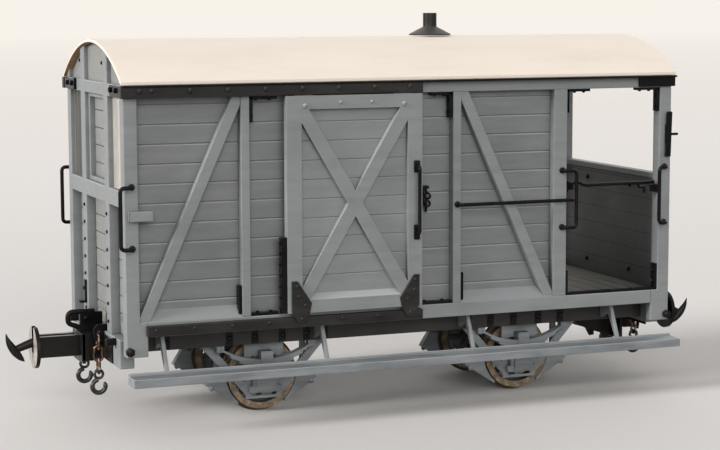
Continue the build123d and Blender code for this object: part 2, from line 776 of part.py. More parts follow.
# drawgear: a slotted buffer disc on a boxed shank and a flanged block, with a pin for the drawhook
shank_x = -head_front - shank_out
disc_x = -head_front - disc_out
pin_x = -head_front - pin_out
gear = box(shank_x, -head_front, -block_half, block_half, shank_z0 - block_under, shank_z1 + block_over)
gear = gear + box(shank_x, shank_x + iron_t, -flange_half, flange_half, flange_z0, flange_z1)
gear = gear + box(disc_x + disc_t, shank_x, -shank_half, shank_half, shank_z0, shank_z1)
gear = gear + Pos(disc_x + disc_t / 2, 0, draw_z) * Rot(0, 90, 0) * Cylinder(disc_r, disc_t)
gear = gear - box(disc_x - disc_t, shank_x - iron_t, -slot_half, slot_half, slot_z0, draw_z + disc_r + disc_t)
gear = gear + along_y(pin_r, -shank_half - pin_end, shank_half + pin_end, pin_x, pin_z)
save("drawgear_a", gear)
save("drawgear_b", Pos(0, 0, -droop_b) * gear.mirror(Plane.YZ))

# drawhooks, the one at the veranda end dipping a little on its pin
hook_half = slot_half - hook_gap
hook = plate_xz([(pin_x - x, pin_z + z) for x, z in hook_line], -hook_half, hook_half)
hook = hook - along_y(pin_r + fit, -shank_half, shank_half, pin_x, pin_z)
save("hook_a", hook)
dipped = Pos(-pin_x, 0, pin_z) * Rot(0, hook_dip_b, 0) * Pos(pin_x, 0, -pin_z) * hook.mirror(Plane.YZ)
save("hook_b", Pos(0, 0, -droop_b) * dipped)


# bent bar over each coupler, from the end boards to the top of the flange
def guard_bar(drop):
    """The bar at the cabin end, with the flange under it lower by a drop."""
    x0, x1 = shank_x - guard_out, shank_x + iron_t / 2
    top = flange_z1 - drop
    return bar([(-end_out, 0, guard_z), (x0, 0, guard_z), (x0, 0, top + guard_foot),
                (x1, 0, top + guard_foot),
                (x1, 0, top)], guard_r)


save("coupler_guards", [guard_bar(0), guard_bar(droop_b).mirror(Plane.YZ)])

# eye plates on the ends, each over its headstock and with a round hole for a chain
eye_x = -head_front - eye_out
eye_tip = -head_front - eye_tip_out
eye_low, eye_high = eye_z - eye_half, eye_z + eye_half
eye = plate_xz([(-end_out, eye_low), (eye_tip + eye_cut, eye_low), (eye_tip, eye_low + eye_cut),
                (eye_tip, eye_high - eye_cut), (eye_tip + eye_cut, eye_high), (-end_out, eye_high)],
               -eye_t / 2, eye_t / 2)
eye = eye - box(-head_front, -end_out + eye_t, -eye_t, eye_t, eye_low - eye_t, head_top)
eye = eye - flats_y(eye_hole, bar_sides, -eye_t, eye_t, eye_x, eye_z)
save("chain_eyes", four(Pos(0, -chain_y, 0) * eye))


def oval(half, low, high, cut):
    """Outline of a long link: a narrow box with its corners cut off."""
    return [(-half + cut, low), (half - cut, low), (half, low + cut), (half, high - cut), (half - cut, high),
            (-half + cut, high), (-half, high - cut), (-half, low + cut)]


def link(z_low, across):
    """One link of square wire, its inside starting at a height, facing along or across the van."""
    z_high = z_low + link_inner
    outer = oval(link_half + link_wire, z_low - link_wire, z_high + link_wire, link_wire)
    inner = oval(link_half, z_low, z_high, link_wire / 2)
    ring = plate_xz(outer, -link_wire / 2, link_wire / 2) - plate_xz(inner, -link_wire, link_wire)
    return Rot(0, 0, 90) * ring if across else ring


def chain_hook(z):
    """Open hook with an eye, its eye centred at a height."""
    flat = (-link_wire / 2, link_wire / 2)
    through = (-link_wire, link_wire)
    bowl_z = z - chain_eye_r - bowl_drop
    rays = [math.radians(a) for a in (mouth_from, (mouth_from + mouth_to) / 2, mouth_to)]
    wedge = [(0, bowl_z)] + [(3 * bowl_r * math.cos(a), bowl_z + 3 * bowl_r * math.sin(a)) for a in rays]
    bowl = flats_y(bowl_r, 2 * bar_sides, *flat, 0, bowl_z)
    bowl = bowl - flats_y(bowl_r - bowl_wire, bar_sides, *through, 0, bowl_z)
    bowl = bowl - plate_xz(wedge, *through)
    mid_r = bowl_r - bowl_wire / 2
    tip = flats_y(bowl_wire / 2, bar_sides, *flat, mid_r * math.cos(rays[0]),
                  bowl_z + mid_r * math.sin(rays[0]))
    eye_disc = flats_y(chain_eye_r, bar_sides, *flat, 0, z)
    return bowl + eye_disc + tip - flats_y(link_half + hang_gap, bar_sides, *through, 0, z)


# safety chains: links hang inside one another from the eye, the last one carrying the hook
low = eye_z - link_wire / 2 - link_inner
chain = [link(low, True)]
for i in range(1, chain_links):
    low = low + hang_gap - link_inner
    chain.append(link(low, i % 2 == 0))
chain.append(chain_hook(low - link_half))
save("safety_chains", [s for piece in chain for s in four(Pos(eye_x, -chain_y, 0) * piece)])

# straps round the top corners
strap_z0, strap_z1 = cant_bot + strap_up, rail_z1 - strap_down
strap_in = half_wid - strap_w
cabin_strap = box(-half_len - strap_t, -half_len, -half_wid, -strap_in, strap_z0, strap_z1)
far_x, far_y = half_len + strap_t, -half_wid - strap_t
veranda_strap = box(half_len, far_x, far_y, -strap_in, strap_z0, strap_z1)
veranda_strap = veranda_strap + box(half_len - strap_len, far_x, far_y, -half_wid, strap_z0, strap_z1)
save("corner_straps", both(cabin_strap) + both(veranda_strap))

# irons that carry the lamps: one on each veranda corner post, one low on the cabin end
iron_y = -half_wid + lamp_in
post_iron = box(half_len, half_len + strap_t, iron_y, iron_y + lamp_w, lamp_z0, lamp_z1)
post_iron = post_iron + box(half_len, half_len + lamp_peg_out, iron_y, iron_y + lamp_w, lamp_peg_z,
                            lamp_peg_z + lamp_peg_h)
low_y0, low_y1 = end_post_y - lamp_w / 2, end_post_y + lamp_w / 2
end_iron = box(-half_len - strap_t, -half_len, low_y0, low_y1, lamp_end_z0, lamp_end_z0 + lamp_end_h)
end_iron = end_iron + box(-half_len - lamp_peg_out, -half_len, low_y0, low_y1, lamp_end_z0,
                          lamp_end_z0 + lamp_peg_h)
save("lamp_irons", both(post_iron) + [end_iron])
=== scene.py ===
import bmesh
import bpy
import json
import math
from mathutils import Matrix, Vector

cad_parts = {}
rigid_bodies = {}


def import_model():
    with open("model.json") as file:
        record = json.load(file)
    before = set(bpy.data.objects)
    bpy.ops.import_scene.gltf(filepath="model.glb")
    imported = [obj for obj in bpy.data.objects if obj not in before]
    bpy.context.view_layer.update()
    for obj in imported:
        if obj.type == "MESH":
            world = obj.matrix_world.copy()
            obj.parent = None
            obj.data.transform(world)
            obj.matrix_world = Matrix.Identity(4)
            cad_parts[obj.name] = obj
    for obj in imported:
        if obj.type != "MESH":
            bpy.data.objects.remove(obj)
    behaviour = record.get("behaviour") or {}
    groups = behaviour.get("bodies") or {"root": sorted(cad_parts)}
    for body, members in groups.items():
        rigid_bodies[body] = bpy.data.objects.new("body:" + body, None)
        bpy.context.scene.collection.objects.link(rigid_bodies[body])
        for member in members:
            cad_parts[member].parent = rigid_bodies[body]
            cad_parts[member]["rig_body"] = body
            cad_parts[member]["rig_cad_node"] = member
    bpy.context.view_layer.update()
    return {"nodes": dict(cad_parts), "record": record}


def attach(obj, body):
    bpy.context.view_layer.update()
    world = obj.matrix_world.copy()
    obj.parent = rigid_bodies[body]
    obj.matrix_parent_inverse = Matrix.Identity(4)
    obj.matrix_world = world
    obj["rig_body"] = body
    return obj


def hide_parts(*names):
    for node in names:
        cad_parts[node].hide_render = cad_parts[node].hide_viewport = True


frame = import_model()
print("frame loaded")

mm = 0.001
cadNodes = frame["nodes"]
nodeBody = {n: b for b, members in frame["record"]["behaviour"]["bodies"].items() for n in members}
nodeSlot = {s["node"]: s["material_slot"] for s in frame["record"]["subparts"]}

# camera at the photograph's place
cameraSettings = {
    "place": (-0.299216, -0.753617, 0.168614), "turn": 21.366, "down": 6.799, "roll": -0.1625,
    "lens": 94.76, "sensor": 36.0, "clip": (0.01, 100),
}


def addCamera(s):
    data = bpy.data.cameras.new("photoCamera")
    data.lens, data.sensor_width = s["lens"], s["sensor"]
    data.clip_start, data.clip_end = s["clip"]
    cam = bpy.data.objects.new("photoCamera", data)
    bpy.context.scene.collection.objects.link(cam)
    look = Matrix.Translation(s["place"])
    for angle, axis in ((-s["turn"], "Z"), (90 - s["down"], "X"), (s["roll"], "Z")):
        look = look @ Matrix.Rotation(math.radians(angle), 4, axis)
    cam.matrix_world = look
    bpy.context.scene.camera = cam


addCamera(cameraSettings)
bpy.context.scene.view_settings.view_transform = "Standard"


# materials
def grey(v):
    # a screen value of 0 to 255 as the shader's own value, by the screen's standard curve
    c = v / 255
    return c / 12.92 if c <= 0.04045 else ((c + 0.055) / 1.055) ** 2.4


def tone(r, g, b):
    return (grey(r), grey(g), grey(b), 1.0)


class Finish:
    # a small builder for one material's nodes
    def __init__(self, name):
        self.material = bpy.data.materials.new(name)
        self.material.use_nodes = True
        self.tree = self.material.node_tree
        self.shader = self.tree.nodes["Principled BSDF"]
        self.coord = self.tree.nodes.new("ShaderNodeTexCoord")

    def add(self, kind, **values):
        node = self.tree.nodes.new(kind)
        for key, value in values.items():
            setattr(node, key, value)
        return node

    def link(self, a, b):
        self.tree.links.new(a, b)

    def preset(self, node, **values):
        for key, value in values.items():
            node.inputs[key.replace("_", " ")].default_value = value

    def noise(self, scale, detail, rough, stretch=(1, 1, 1)):
        mapping, node = self.add("ShaderNodeMapping"), self.add("ShaderNodeTexNoise")
        self.preset(mapping, Scale=stretch)
        self.preset(node, Scale=scale, Detail=detail, Roughness=rough)
        self.link(self.coord.outputs["Object"], mapping.inputs["Vector"])
        self.link(mapping.outputs["Vector"], node.inputs["Vector"])
        return node.outputs["Fac"]

    def ramp(self, value, stops):
        # stops are a level from 0 to 1 and a screen colour each
        node = self.add("ShaderNodeValToRGB")
        elements = node.color_ramp.elements
        while len(elements) < len(stops):
            elements.new(0.5)
        for element, (at, colour) in zip(elements, stops):
            element.position = at
            element.color = tone(*colour)
        self.link(value, node.inputs["Fac"])
        return node.outputs["Color"]

    def spread(self, value, low, high, outLow=0.0, outHigh=1.0):
        node = self.add("ShaderNodeMapRange")
        self.preset(node, From_Min=low, From_Max=high, To_Min=outLow, To_Max=outHigh)
        self.link(value, node.inputs["Value"])
        return node.outputs["Result"]

    def math(self, kind, a, b=0.0):
        node = self.add("ShaderNodeMath", operation=kind)
        for i, v in enumerate((a, b)):
            if isinstance(v, (int, float)):
                node.inputs[i].default_value = v
            else:
                self.link(v, node.inputs[i])
        return node.outputs[0]

    def blend(self, a, share, b):
        return self.math("ADD", self.math("MULTIPLY", a, share), self.math("MULTIPLY", b, 1 - share))

    def mix(self, factor, a, b, kind="MIX"):
        node = self.add("ShaderNodeMix", data_type="RGBA", blend_type=kind)
        for socket, v in ((node.inputs[0], factor), (node.inputs[6], a), (node.inputs[7], b)):
            if isinstance(v, (int, float, tuple)):
                socket.default_value = v
            else:
                self.link(v, socket)
        return node.outputs[2]

    def place(self, axis):
        node = self.add("ShaderNodeSeparateXYZ")
        self.link(self.coord.outputs["Object"], node.inputs[0])
        return node.outputs[axis]

    def facing(self, axis):
        source, node = self.add("ShaderNodeNewGeometry"), self.add("ShaderNodeSeparateXYZ")
        self.link(source.outputs["Normal"], node.inputs[0])
        return node.outputs[axis]

    def bump(self, height, depth, strength):
        node = self.add("ShaderNodeBump")
        self.preset(node, Distance=depth, Strength=strength)
        self.link(height, node.inputs["Height"])
        self.link(node.outputs["Normal"], self.shader.inputs["Normal"])

    def shade(self, colour, value):
        level = self.add("ShaderNodeCombineColor")
        for i in range(3):
            self.link(value, level.inputs[i])
        return self.mix(1.0, colour, level.outputs[0], "MULTIPLY")

    def colour(self, value, key="Base Color"):
        self.link(value, self.shader.inputs[key])

    def rough(self, value):
        self.colour(value, "Roughness")

    def metal(self, value):
        self.colour(value, "Metallic")


# each paint has a dark, a middle and a pale tone, and the paler tone of its upward-facing edges, a painted
# highlight. A noise is its scale, detail, roughness and stretch, and a bump its depth in metres and its
# strength.
plainGrey = {
    "tones": ((121, 124, 124), (129, 132, 132), (136, 138, 137)), "wearAndHighlight": (138, 141, 141),
    "rough": (0.42, 0.56), "cornerShade": 0.7, "shine": 0.3, "reach": 0.005,
}
paintSettings = {
    "bodyGrey": {**plainGrey, "wearAndHighlight": (162, 164, 163), "cornerShade": 0.62},
    "plankGrey": {**plainGrey, "tones": ((111, 113, 113), (119, 121, 121), (127, 129, 128)),
                  "wearAndHighlight": (158, 159, 157), "cornerShade": 0.55, "shine": 0.25},
    "endGrey": {**plainGrey, "tones": ((125, 125, 122), (134, 134, 131), (143, 142, 139)),
                "wearAndHighlight": (132, 132, 129), "cornerShade": 0.55, "shine": 0.2},
    "slopeGrey": plainGrey,
    # the veranda's inside, bulkhead and its door: the body's grey painted darker, with far-reaching corner
    # darkening, as painted shade
    "verandaShadeGrey": {**plainGrey, "tones": ((98, 100, 99), (106, 108, 107), (114, 116, 114)), "cornerShade": 0.18,
                 "shine": 0.2, "reach": 0.06, "boards": (0.0514, 0.00768)},
    "runningGrey": {**plainGrey, "tones": ((98, 102, 104), (124, 128, 131), (143, 147, 149)),
                    "wearAndHighlight": (160, 163, 164), "rough": (0.40, 0.55), "cornerShade": 0.5},
    "soleCharcoal": {**plainGrey, "tones": ((32, 32, 31), (42, 41, 39), (54, 53, 50)), "wearAndHighlight": (62, 61, 58),
                     "rough": (0.45, 0.6), "shine": 0.2},
    "ironBlack": {**plainGrey, "tones": ((24, 24, 23), (36, 35, 33), (50, 48, 45)), "wearAndHighlight": (62, 59, 56),
                  "rough": (0.36, 0.5), "shine": 0.14},
    "glossBlack": {**plainGrey, "tones": ((7, 7, 9), (13, 13, 15), (22, 21, 22)), "wearAndHighlight": (24, 23, 24),
                   "rough": (0.2, 0.34), "cornerShade": 0.8, "shine": 0.1},
}
brushSettings = {
    "streak": (1.0, 5.0, 0.6, (45, 260, 260)), "patch": (38.0, 3.0, 0.5), "speck": (1500.0, 2.0, 0.5),
    "streakShare": 0.55, "stops": (0.34, 0.5, 0.66), "dust": (150, 142, 128), "dustBelow": 0.04,
    "dustMost": 0.18, "highlightFrom": (0.2, 0.55), "highlightTo": (0.985, 0.95), "corner": (0.2, 0.8), "samples": 8,
    "roughOver": (0.35, 0.65), "joint": (0.0001, 0.0004, 0.55), "bumpShare": 0.7, "bump": (0.00006, 0.3),
}


def paintColour(f, s, p=brushSettings):
    # brushed streaks along the piece, broad patches, and dust that settles low down
    streak, patch, speck = [f.noise(*p[key]) for key in ("streak", "patch", "speck")]
    colour = f.ramp(f.blend(streak, p["streakShare"], patch), list(zip(p["stops"], s["tones"])))
    dust = f.spread(f.place(2), p["dustBelow"], 0.0, 0.0, p["dustMost"])
    colour = f.mix(f.math("MULTIPLY", dust, patch), colour, tone(*p["dust"]))
    # upward-facing edges get a paler tone as a painted highlight, and corners and hollows get painted shade
    up = f.facing(2)
    paintedHighlight = f.math("MULTIPLY", f.spread(up, *p["highlightFrom"]), f.spread(up, *p["highlightTo"]))
    colour = f.mix(paintedHighlight, colour, tone(*s["wearAndHighlight"]))
    # the occlusion below darkens the colour in corners and hollows: painted shade
    cornerShade = f.add("ShaderNodeAmbientOcclusion", samples=p["samples"])
    f.preset(cornerShade, Distance=s["reach"])
    shadeAndJoints = f.spread(cornerShade.outputs["AO"], *p["corner"], s["cornerShade"], 1.0)
    f.rough(f.spread(patch, *p["roughOver"], *s["rough"]))
    f.preset(f.shader, Specular_IOR_Level=s["shine"])
    if "boards" in s:
        # fine joints between boards
        first, pitch = s["boards"]
        joint = f.math("PINGPONG", f.math("SUBTRACT", f.place(2), first), pitch / 2)
        shadeAndJoints = f.math("MULTIPLY", shadeAndJoints, f.spread(joint, *p["joint"], 1.0))
    f.bump(f.blend(streak, p["bumpShare"], speck), *p["bump"])
    return f.shade(colour, shadeAndJoints)


def makePaint(name, s):
    f = Finish(name)
    f.colour(paintColour(f, s))
    return f.material


paints = [makePaint(name, s) for name, s in paintSettings.items()]
bodyGrey, plankGrey, endGrey, slopeGrey, verandaShadeGrey = paints[:5]
runningGrey, soleCharcoal, ironBlack, glossBlack = paints[5:]

bufferSettings = {
    "rub": (260.0, 5.0, 0.6), "face": (0.1464, 0.1466), "straight": (0.97, 0.99),
    "wearAndHighlight": ((0.3, (128, 120, 108)), (0.5, (160, 152, 141)), (0.7, (182, 175, 165))),
}


def makeBufferFinish(s):
    # black castings, the buffer's own face worn to bare metal inside a dark rim
    f = Finish("bufferIron")
    paint = paintColour(f, paintSettings["glossBlack"])
    wearAndHighlight = f.ramp(f.noise(*s["rub"]), s["wearAndHighlight"])
    front = f.spread(f.math("ABSOLUTE", f.place(0)), *s["face"])
    straight = f.spread(f.math("ABSOLUTE", f.facing(0)), *s["straight"])
    f.colour(f.mix(f.math("MULTIPLY", front, straight), paint, wearAndHighlight))
    return f.material


canvasSettings = {
    "weave": (2200.0, 2.0, 0.5), "stain": (1.0, 5.0, 0.65, (14, 40, 40)),
    "grain": (1.0, 6.0, 0.6, (60, 900, 900)), "below": (-0.15, -0.35),
    "top": ((0.30, (216, 204, 190)), (0.52, (225, 213, 199)), (0.75, (230, 219, 206))),
    "timber": ((0.3, (120, 92, 62)), (0.55, (168, 136, 98)), (0.75, (190, 160, 122))),
    "rough": (0.3, 0.7, 0.55, 0.72), "bump": (0.0001, 0.4),
}


def makeRoofFinish(s):
    # cream canvas above, bare boards below
    f = Finish("roofCanvas")
    weave, stain, grain = [f.noise(*s[key]) for key in ("weave", "stain", "grain")]
    below = f.spread(f.facing(2), *s["below"])
    f.colour(f.mix(below, f.ramp(stain, s["top"]), f.ramp(grain, s["timber"])))
    f.rough(f.spread(stain, *s["rough"]))
    f.bump(f.blend(weave, 0.5, stain), *s["bump"])
    return f.material


boardSettings = {
    "grain": (1.0, 6.0, 0.62, (380, 40, 380)), "patch": (60.0, 3.0, 0.5), "dirt": (120, 114, 102),
    "boards": ((0.3, (84, 84, 81)), (0.52, (106, 107, 104)), (0.72, (124, 124, 120))), "dirtShare": 0.3,
    "rough": (0.3, 0.7, 0.5, 0.7), "bump": (0.0001, 0.5),
}


def makeFloorBoards(s):
    f = Finish("floorBoards")
    grain, patch = f.noise(*s["grain"]), f.noise(*s["patch"])
    colour = f.ramp(grain, s["boards"])
    f.colour(f.mix(f.math("MULTIPLY", patch, s["dirtShare"]), colour, tone(*s["dirt"])))
    f.rough(f.spread(patch, *s["rough"]))
    f.bump(grain, *s["bump"])
    return f.material


wheelSettings = {
    "scuff": (420.0, 4.0, 0.55), "patch": (70.0, 3.0, 0.5), "axle": (0.058, 0.016),
    "rim": ((0.3, (94, 80, 64)), (0.52, (122, 106, 86)), (0.72, (158, 142, 122))),
    "centre": ((0.3, (40, 40, 39)), (0.6, (62, 61, 59))), "flangeTone": (52, 44, 36),
    "tread": (0.0119, 0.0122), "flange": (0.0146, 0.0149), "metal": 0.55, "rough": (0.3, 0.7, 0.32, 0.5),
    "bump": (0.00004, 0.25),
}


def makeWheelFinish(s):
    f = Finish("wheelSteel")
    scuff, patch = f.noise(*s["scuff"]), f.noise(*s["patch"])
    rim, centre = f.ramp(scuff, s["rim"]), f.ramp(patch, s["centre"])
    # distance from the nearer axle line picks out the tread and flange
    along = f.math("SUBTRACT", f.math("ABSOLUTE", f.place(0)), s["axle"][0])
    up = f.math("SUBTRACT", f.place(2), s["axle"][1])
    radius = f.math("SQRT", f.math("ADD", f.math("MULTIPLY", along, along), f.math("MULTIPLY", up, up)))
    edge, outer = f.spread(radius, *s["tread"]), f.spread(radius, *s["flange"])
    f.colour(f.mix(outer, f.mix(edge, centre, rim), tone(*s["flangeTone"])))
    f.metal(f.math("MULTIPLY", edge, s["metal"]))
    f.rough(f.spread(scuff, *s["rough"]))
    f.bump(scuff, *s["bump"])
    return f.material


brassSettings = {
    "tarnish": (420.0, 5.0, 0.6), "hookBelow": (0.0206, 0.0202), "metal": (0.85, 0.1),
    "links": ((0.32, (34, 28, 25)), (0.5, (98, 76, 60)), (0.68, (190, 166, 144))),
    "hook": ((0.3, (14, 14, 16)), (0.7, (30, 29, 31))), "rough": (0.3, 0.7, 0.2, 0.36),
    "bump": (0.00005, 0.3),
}


def makeChainFinish(s):
    # tarnished links, and black hooks below them
    f = Finish("chainBrass")
    tarnish = f.noise(*s["tarnish"])
    low = f.spread(f.place(2), *s["hookBelow"])
    f.colour(f.mix(low, f.ramp(tarnish, s["links"]), f.ramp(tarnish, s["hook"])))
    f.metal(f.spread(low, 0.0, 1.0, *s["metal"]))
    f.rough(f.spread(tarnish, *s["rough"]))
    f.bump(tarnish, *s["bump"])
    return f.material


glassSettings = {
    "smearAndReflection": (90.0, 3.0, 0.5), "streak": (1.0, 3.0, 0.5, (1, 210, 9)), "middle": (-0.001, 0.001),
    "near": ((0.3, (226, 218, 207)), (0.7, (240, 233, 223))), "rough": (0.3, 0.7, 0.03, 0.09),
    "far": ((0.3, (112, 109, 104)), (0.7, (142, 138, 131))), "clear": 0.5, "bend": 1.47,
}


def makeGlazing(s):
    # painted reflection: the near pane is painted creamy, the far one painted grey and streaked
    f = Finish("clearGlazing")
    smearAndReflection, streak = f.noise(*s["smearAndReflection"]), f.noise(*s["streak"])
    f.colour(f.mix(f.spread(f.place(1), *s["middle"]), f.ramp(smearAndReflection, s["near"]), f.ramp(streak, s["far"])))
    f.rough(f.spread(smearAndReflection, *s["rough"]))
    f.preset(f.shader, Transmission_Weight=s["clear"], IOR=s["bend"])
    return f.material


roofCanvas, floorBoards = makeRoofFinish(canvasSettings), makeFloorBoards(boardSettings)
wheelSteel, chainBrass = makeWheelFinish(wheelSettings), makeChainFinish(brassSettings)
clearGlazing, bufferIron = makeGlazing(glassSettings), makeBufferFinish(bufferSettings)
print("finishes made")

slotFinish = {
    "body_grey": bodyGrey, "roof_cream": roofCanvas, "iron_black": ironBlack, "sole_charcoal": soleCharcoal,
    "running_grey": runningGrey, "floor_boards": floorBoards, "wheel_steel": wheelSteel,
    "chain_brass": chainBrass, "window_glass": clearGlazing,
}
finishNodes = (
    (
        glossBlack,
        (
            "chain_eyes", "lamp_irons", "corner_straps", "bar_lugs", "bar_rests", "handrails", "grab_rails",
            "bar_near", "bar_far", "hook_a", "hook_b", "headstock_knees",
        ),
    ), (bufferIron, ("drawgear_a", "drawgear_b")), (slopeGrey, ("sill_fillets", "footboard_hangers")),
    (plankGrey, ("side_planks",)), (verandaShadeGrey, ("veranda_end_boards", "bulkhead", "bulkhead_door")),
)
nodeFinish = {name: slotFinish[slot] for name, slot in nodeSlot.items()}
nodeFinish.update({name: finish for finish, names in finishNodes for name in names})
for name, obj in cadNodes.items():
    obj.data.materials.clear()
    obj.data.materials.append(nodeFinish[name])


# modelling helpers
easeSettings = {"segments": 2, "angle": 30, "join": 0.00001, "flat": 0.5, "smooth": 35, "near": 0.01}


def clearSelection():
    bpy.ops.object.select_all(action="DESELECT")


def chosen(pieces):
    # the only pieces selected, the first of them active
    clearSelection()
    for piece in pieces:
        piece.select_set(True)
    bpy.context.view_layer.objects.active = pieces[0]


def settle(obj):
    chosen([obj])
    bpy.ops.object.transform_apply(location=True, rotation=True, scale=True)
    return obj


def settleActive():
    return settle(bpy.context.active_object)


def openMesh():
    # edit mode, with every face selected
    bpy.ops.object.mode_set(mode="EDIT")
    bpy.ops.mesh.select_mode(type="FACE")
    bpy.ops.mesh.select_all(action="SELECT")


def closeMesh():
    bpy.ops.object.mode_set(mode="OBJECT")


def cleanMesh():
    # doubles merged and faces turned outwards, then back to object mode
    bpy.ops.mesh.select_all(action="SELECT")
    bpy.ops.mesh.remove_doubles(threshold=easeSettings["join"])
    bpy.ops.mesh.normals_make_consistent(inside=False)
    closeMesh()


def joined(pieces):
    chosen(pieces)
    bpy.ops.object.join()
    return pieces[0]


def duplicated(source):
    chosen([source])
    bpy.ops.object.duplicate()
    return bpy.context.active_object


def remove(pieces):
    chosen(pieces)
    bpy.ops.object.delete()


def pickFaces(obj, test):
    # selects the faces that pass a test, in edit mode
    bpy.ops.mesh.select_all(action="DESELECT")
    shape = bmesh.from_edit_mesh(obj.data)
    for face in shape.faces:
        face.select_set(test(face))
    bmesh.update_edit_mesh(obj.data)


def finishPiece(obj, name, body, material, replaced=None, smooth=easeSettings["smooth"]):
    settle(obj)
    bpy.ops.object.shade_smooth_by_angle(angle=math.radians(smooth))
    even = obj.modifiers.new("even", "WEIGHTED_NORMAL")
    even.keep_sharp = True
    bpy.ops.object.modifier_apply(modifier="even")
    obj.name = name
    obj.data.materials.clear()
    obj.data.materials.append(material)
    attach(obj, body)
    if replaced:
        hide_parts(replaced)


def finishIron(pieces, name, body="van", replaced=None, material=glossBlack, smooth=easeSettings["smooth"]):
    finishPiece(joined(pieces), name, body, material, replaced, smooth)


def bentBar(points, radius, bend, sides=14, steps=6):
    # a round bar along straight runs, bent round at each corner
    spots = [Vector(p) * mm for p in points]
    ways = [(b - a).normalized() for a, b in zip(spots, spots[1:])]
    clearSelection()
    bpy.ops.mesh.primitive_circle_add(vertices=sides, radius=radius * mm, fill_type="NGON", location=spots[0],
                                      rotation=ways[0].to_track_quat("Z", "Y").to_euler())
    rod = settleActive()
    openMesh()
    at = spots[0]
    for corner, a, b in zip(spots[1:-1], ways, ways[1:]):
        turn = a.angle(b)
        short = bend * mm * math.tan(turn / 2)
        stop = corner - a * short
        bpy.ops.mesh.extrude_region_move(TRANSFORM_OT_translate={"value": stop - at})
        hinge = a.cross(b).normalized()
        middle = stop + hinge.cross(a).normalized() * bend * mm
        bpy.ops.mesh.spin(steps=steps, angle=-turn, center=middle, axis=hinge)
        at = corner + b * short
    bpy.ops.mesh.extrude_region_move(TRANSFORM_OT_translate={"value": spots[-1] - at})
    cleanMesh()
    return rod


def taperedRod(stations, flatten=1.0):
    # a smooth rod through stations of x, y, z and radius, thinner across the van where flattened
    clearSelection()
    bpy.ops.curve.primitive_nurbs_path_add()
    rod = bpy.context.active_object
    line = rod.data.splines[0]
    line.points.add(len(stations) - len(line.points))
    middle = sum(s[1] for s in stations) / len(stations)
    for point, (x, y, z, r) in zip(line.points, stations):
        point.co = (x * mm, (y - middle) * mm, z * mm, 1)
        point.radius = r
    line.order_u, line.resolution_u = 3, 6
    line.use_endpoint_u = True
    rod.data.bevel_depth, rod.data.bevel_resolution = mm, 4
    rod.data.use_fill_caps = True
    bpy.ops.object.convert(target="MESH")
    rod = bpy.context.active_object
    rod.scale = (1, flatten, 1)
    rod.location = (0, middle * mm, 0)
    settle(rod)
    openMesh()
    cleanMesh()
    return rod


def ring(spot, turn, radius, wire, parts):
    # a torus of two radii, made of so many parts round and across
    clearSelection()
    bpy.ops.mesh.primitive_torus_add(location=Vector(spot) * mm, rotation=turn, major_radius=radius * mm,
                                     minor_radius=wire * mm, major_segments=parts[0], minor_segments=parts[1])
    return settleActive()


def plate(a, b, ease=0.15):
    # a flat piece between two opposite corners, its edges eased
    a, b = Vector(a) * mm, Vector(b) * mm
    clearSelection()
    bpy.ops.mesh.primitive_cube_add(size=1, location=(a + b) / 2, scale=[abs(v) for v in b - a])
    piece = settleActive()
    openMesh()
    bpy.ops.mesh.bevel(offset=ease * mm, segments=easeSettings["segments"], affect="EDGES")
    closeMesh()
    return piece


# heads of bolts: sides, radius, height, and how far each of the crown's two steps rises
headSettings = {
    "rivet": (12, 0.75, 0.3, 0.16), "stud": (12, 1.05, 0.45, 0.2), "nut": (6, 1.2, 0.8, 0.12),
    "bigNut": (6, 1.8, 1.9, 0.25), "longNut": (6, 1.6, 3.9, 0.25), "pad": (16, 1.3, 0.5, 0.2),
}
crownIn = 0.3  # each step goes in by this share of the radius


def makeHead(sides, radius, height, crown):
    # one bolt head, standing on the ground and pointing up
    clearSelection()
    bpy.ops.mesh.primitive_cylinder_add(vertices=sides, radius=radius * mm, depth=height * mm,
                                        location=(0, 0, height * mm / 2))
    head = settleActive()
    openMesh()
    pickFaces(head, lambda f: f.normal.z > 0.9)
    for _ in range(2):
        bpy.ops.mesh.inset(thickness=radius * crownIn * mm, depth=crown * mm)
    closeMesh()
    return head


heads = {kind: makeHead(*sizes) for kind, sizes in headSettings.items()}
quarter = math.pi / 2
wayTurn = {
    "-y": (quarter, 0, 0), "+y": (-quarter, 0, 0), "-x": (0, -quarter, 0), "+x": (0, quarter, 0),
    "+z": (0, 0, 0), "-z": (math.pi, 0, 0),
}


def headAt(kind, spot, way="+z"):
    copy = duplicated(heads[kind])
    copy.rotation_euler = wayTurn[way]
    copy.location = Vector(spot) * mm
    return settle(copy)


def sideHeads(kind, spots, side, out):
    # heads on a side face, spots as x and z
    way = "-y" if side < 0 else "+y"
    return [headAt(kind, (x, side * out, z), way) for x, z in spots]


def sidePlates(rows, side, out, proud, ease=0.12):
    # flat pieces on a side face, rows as x from, x to, z from, z to
    return [plate((x0, side * out, z0), (x1, side * (out + proud), z1), ease) for x0, x1, z0, z1 in rows]


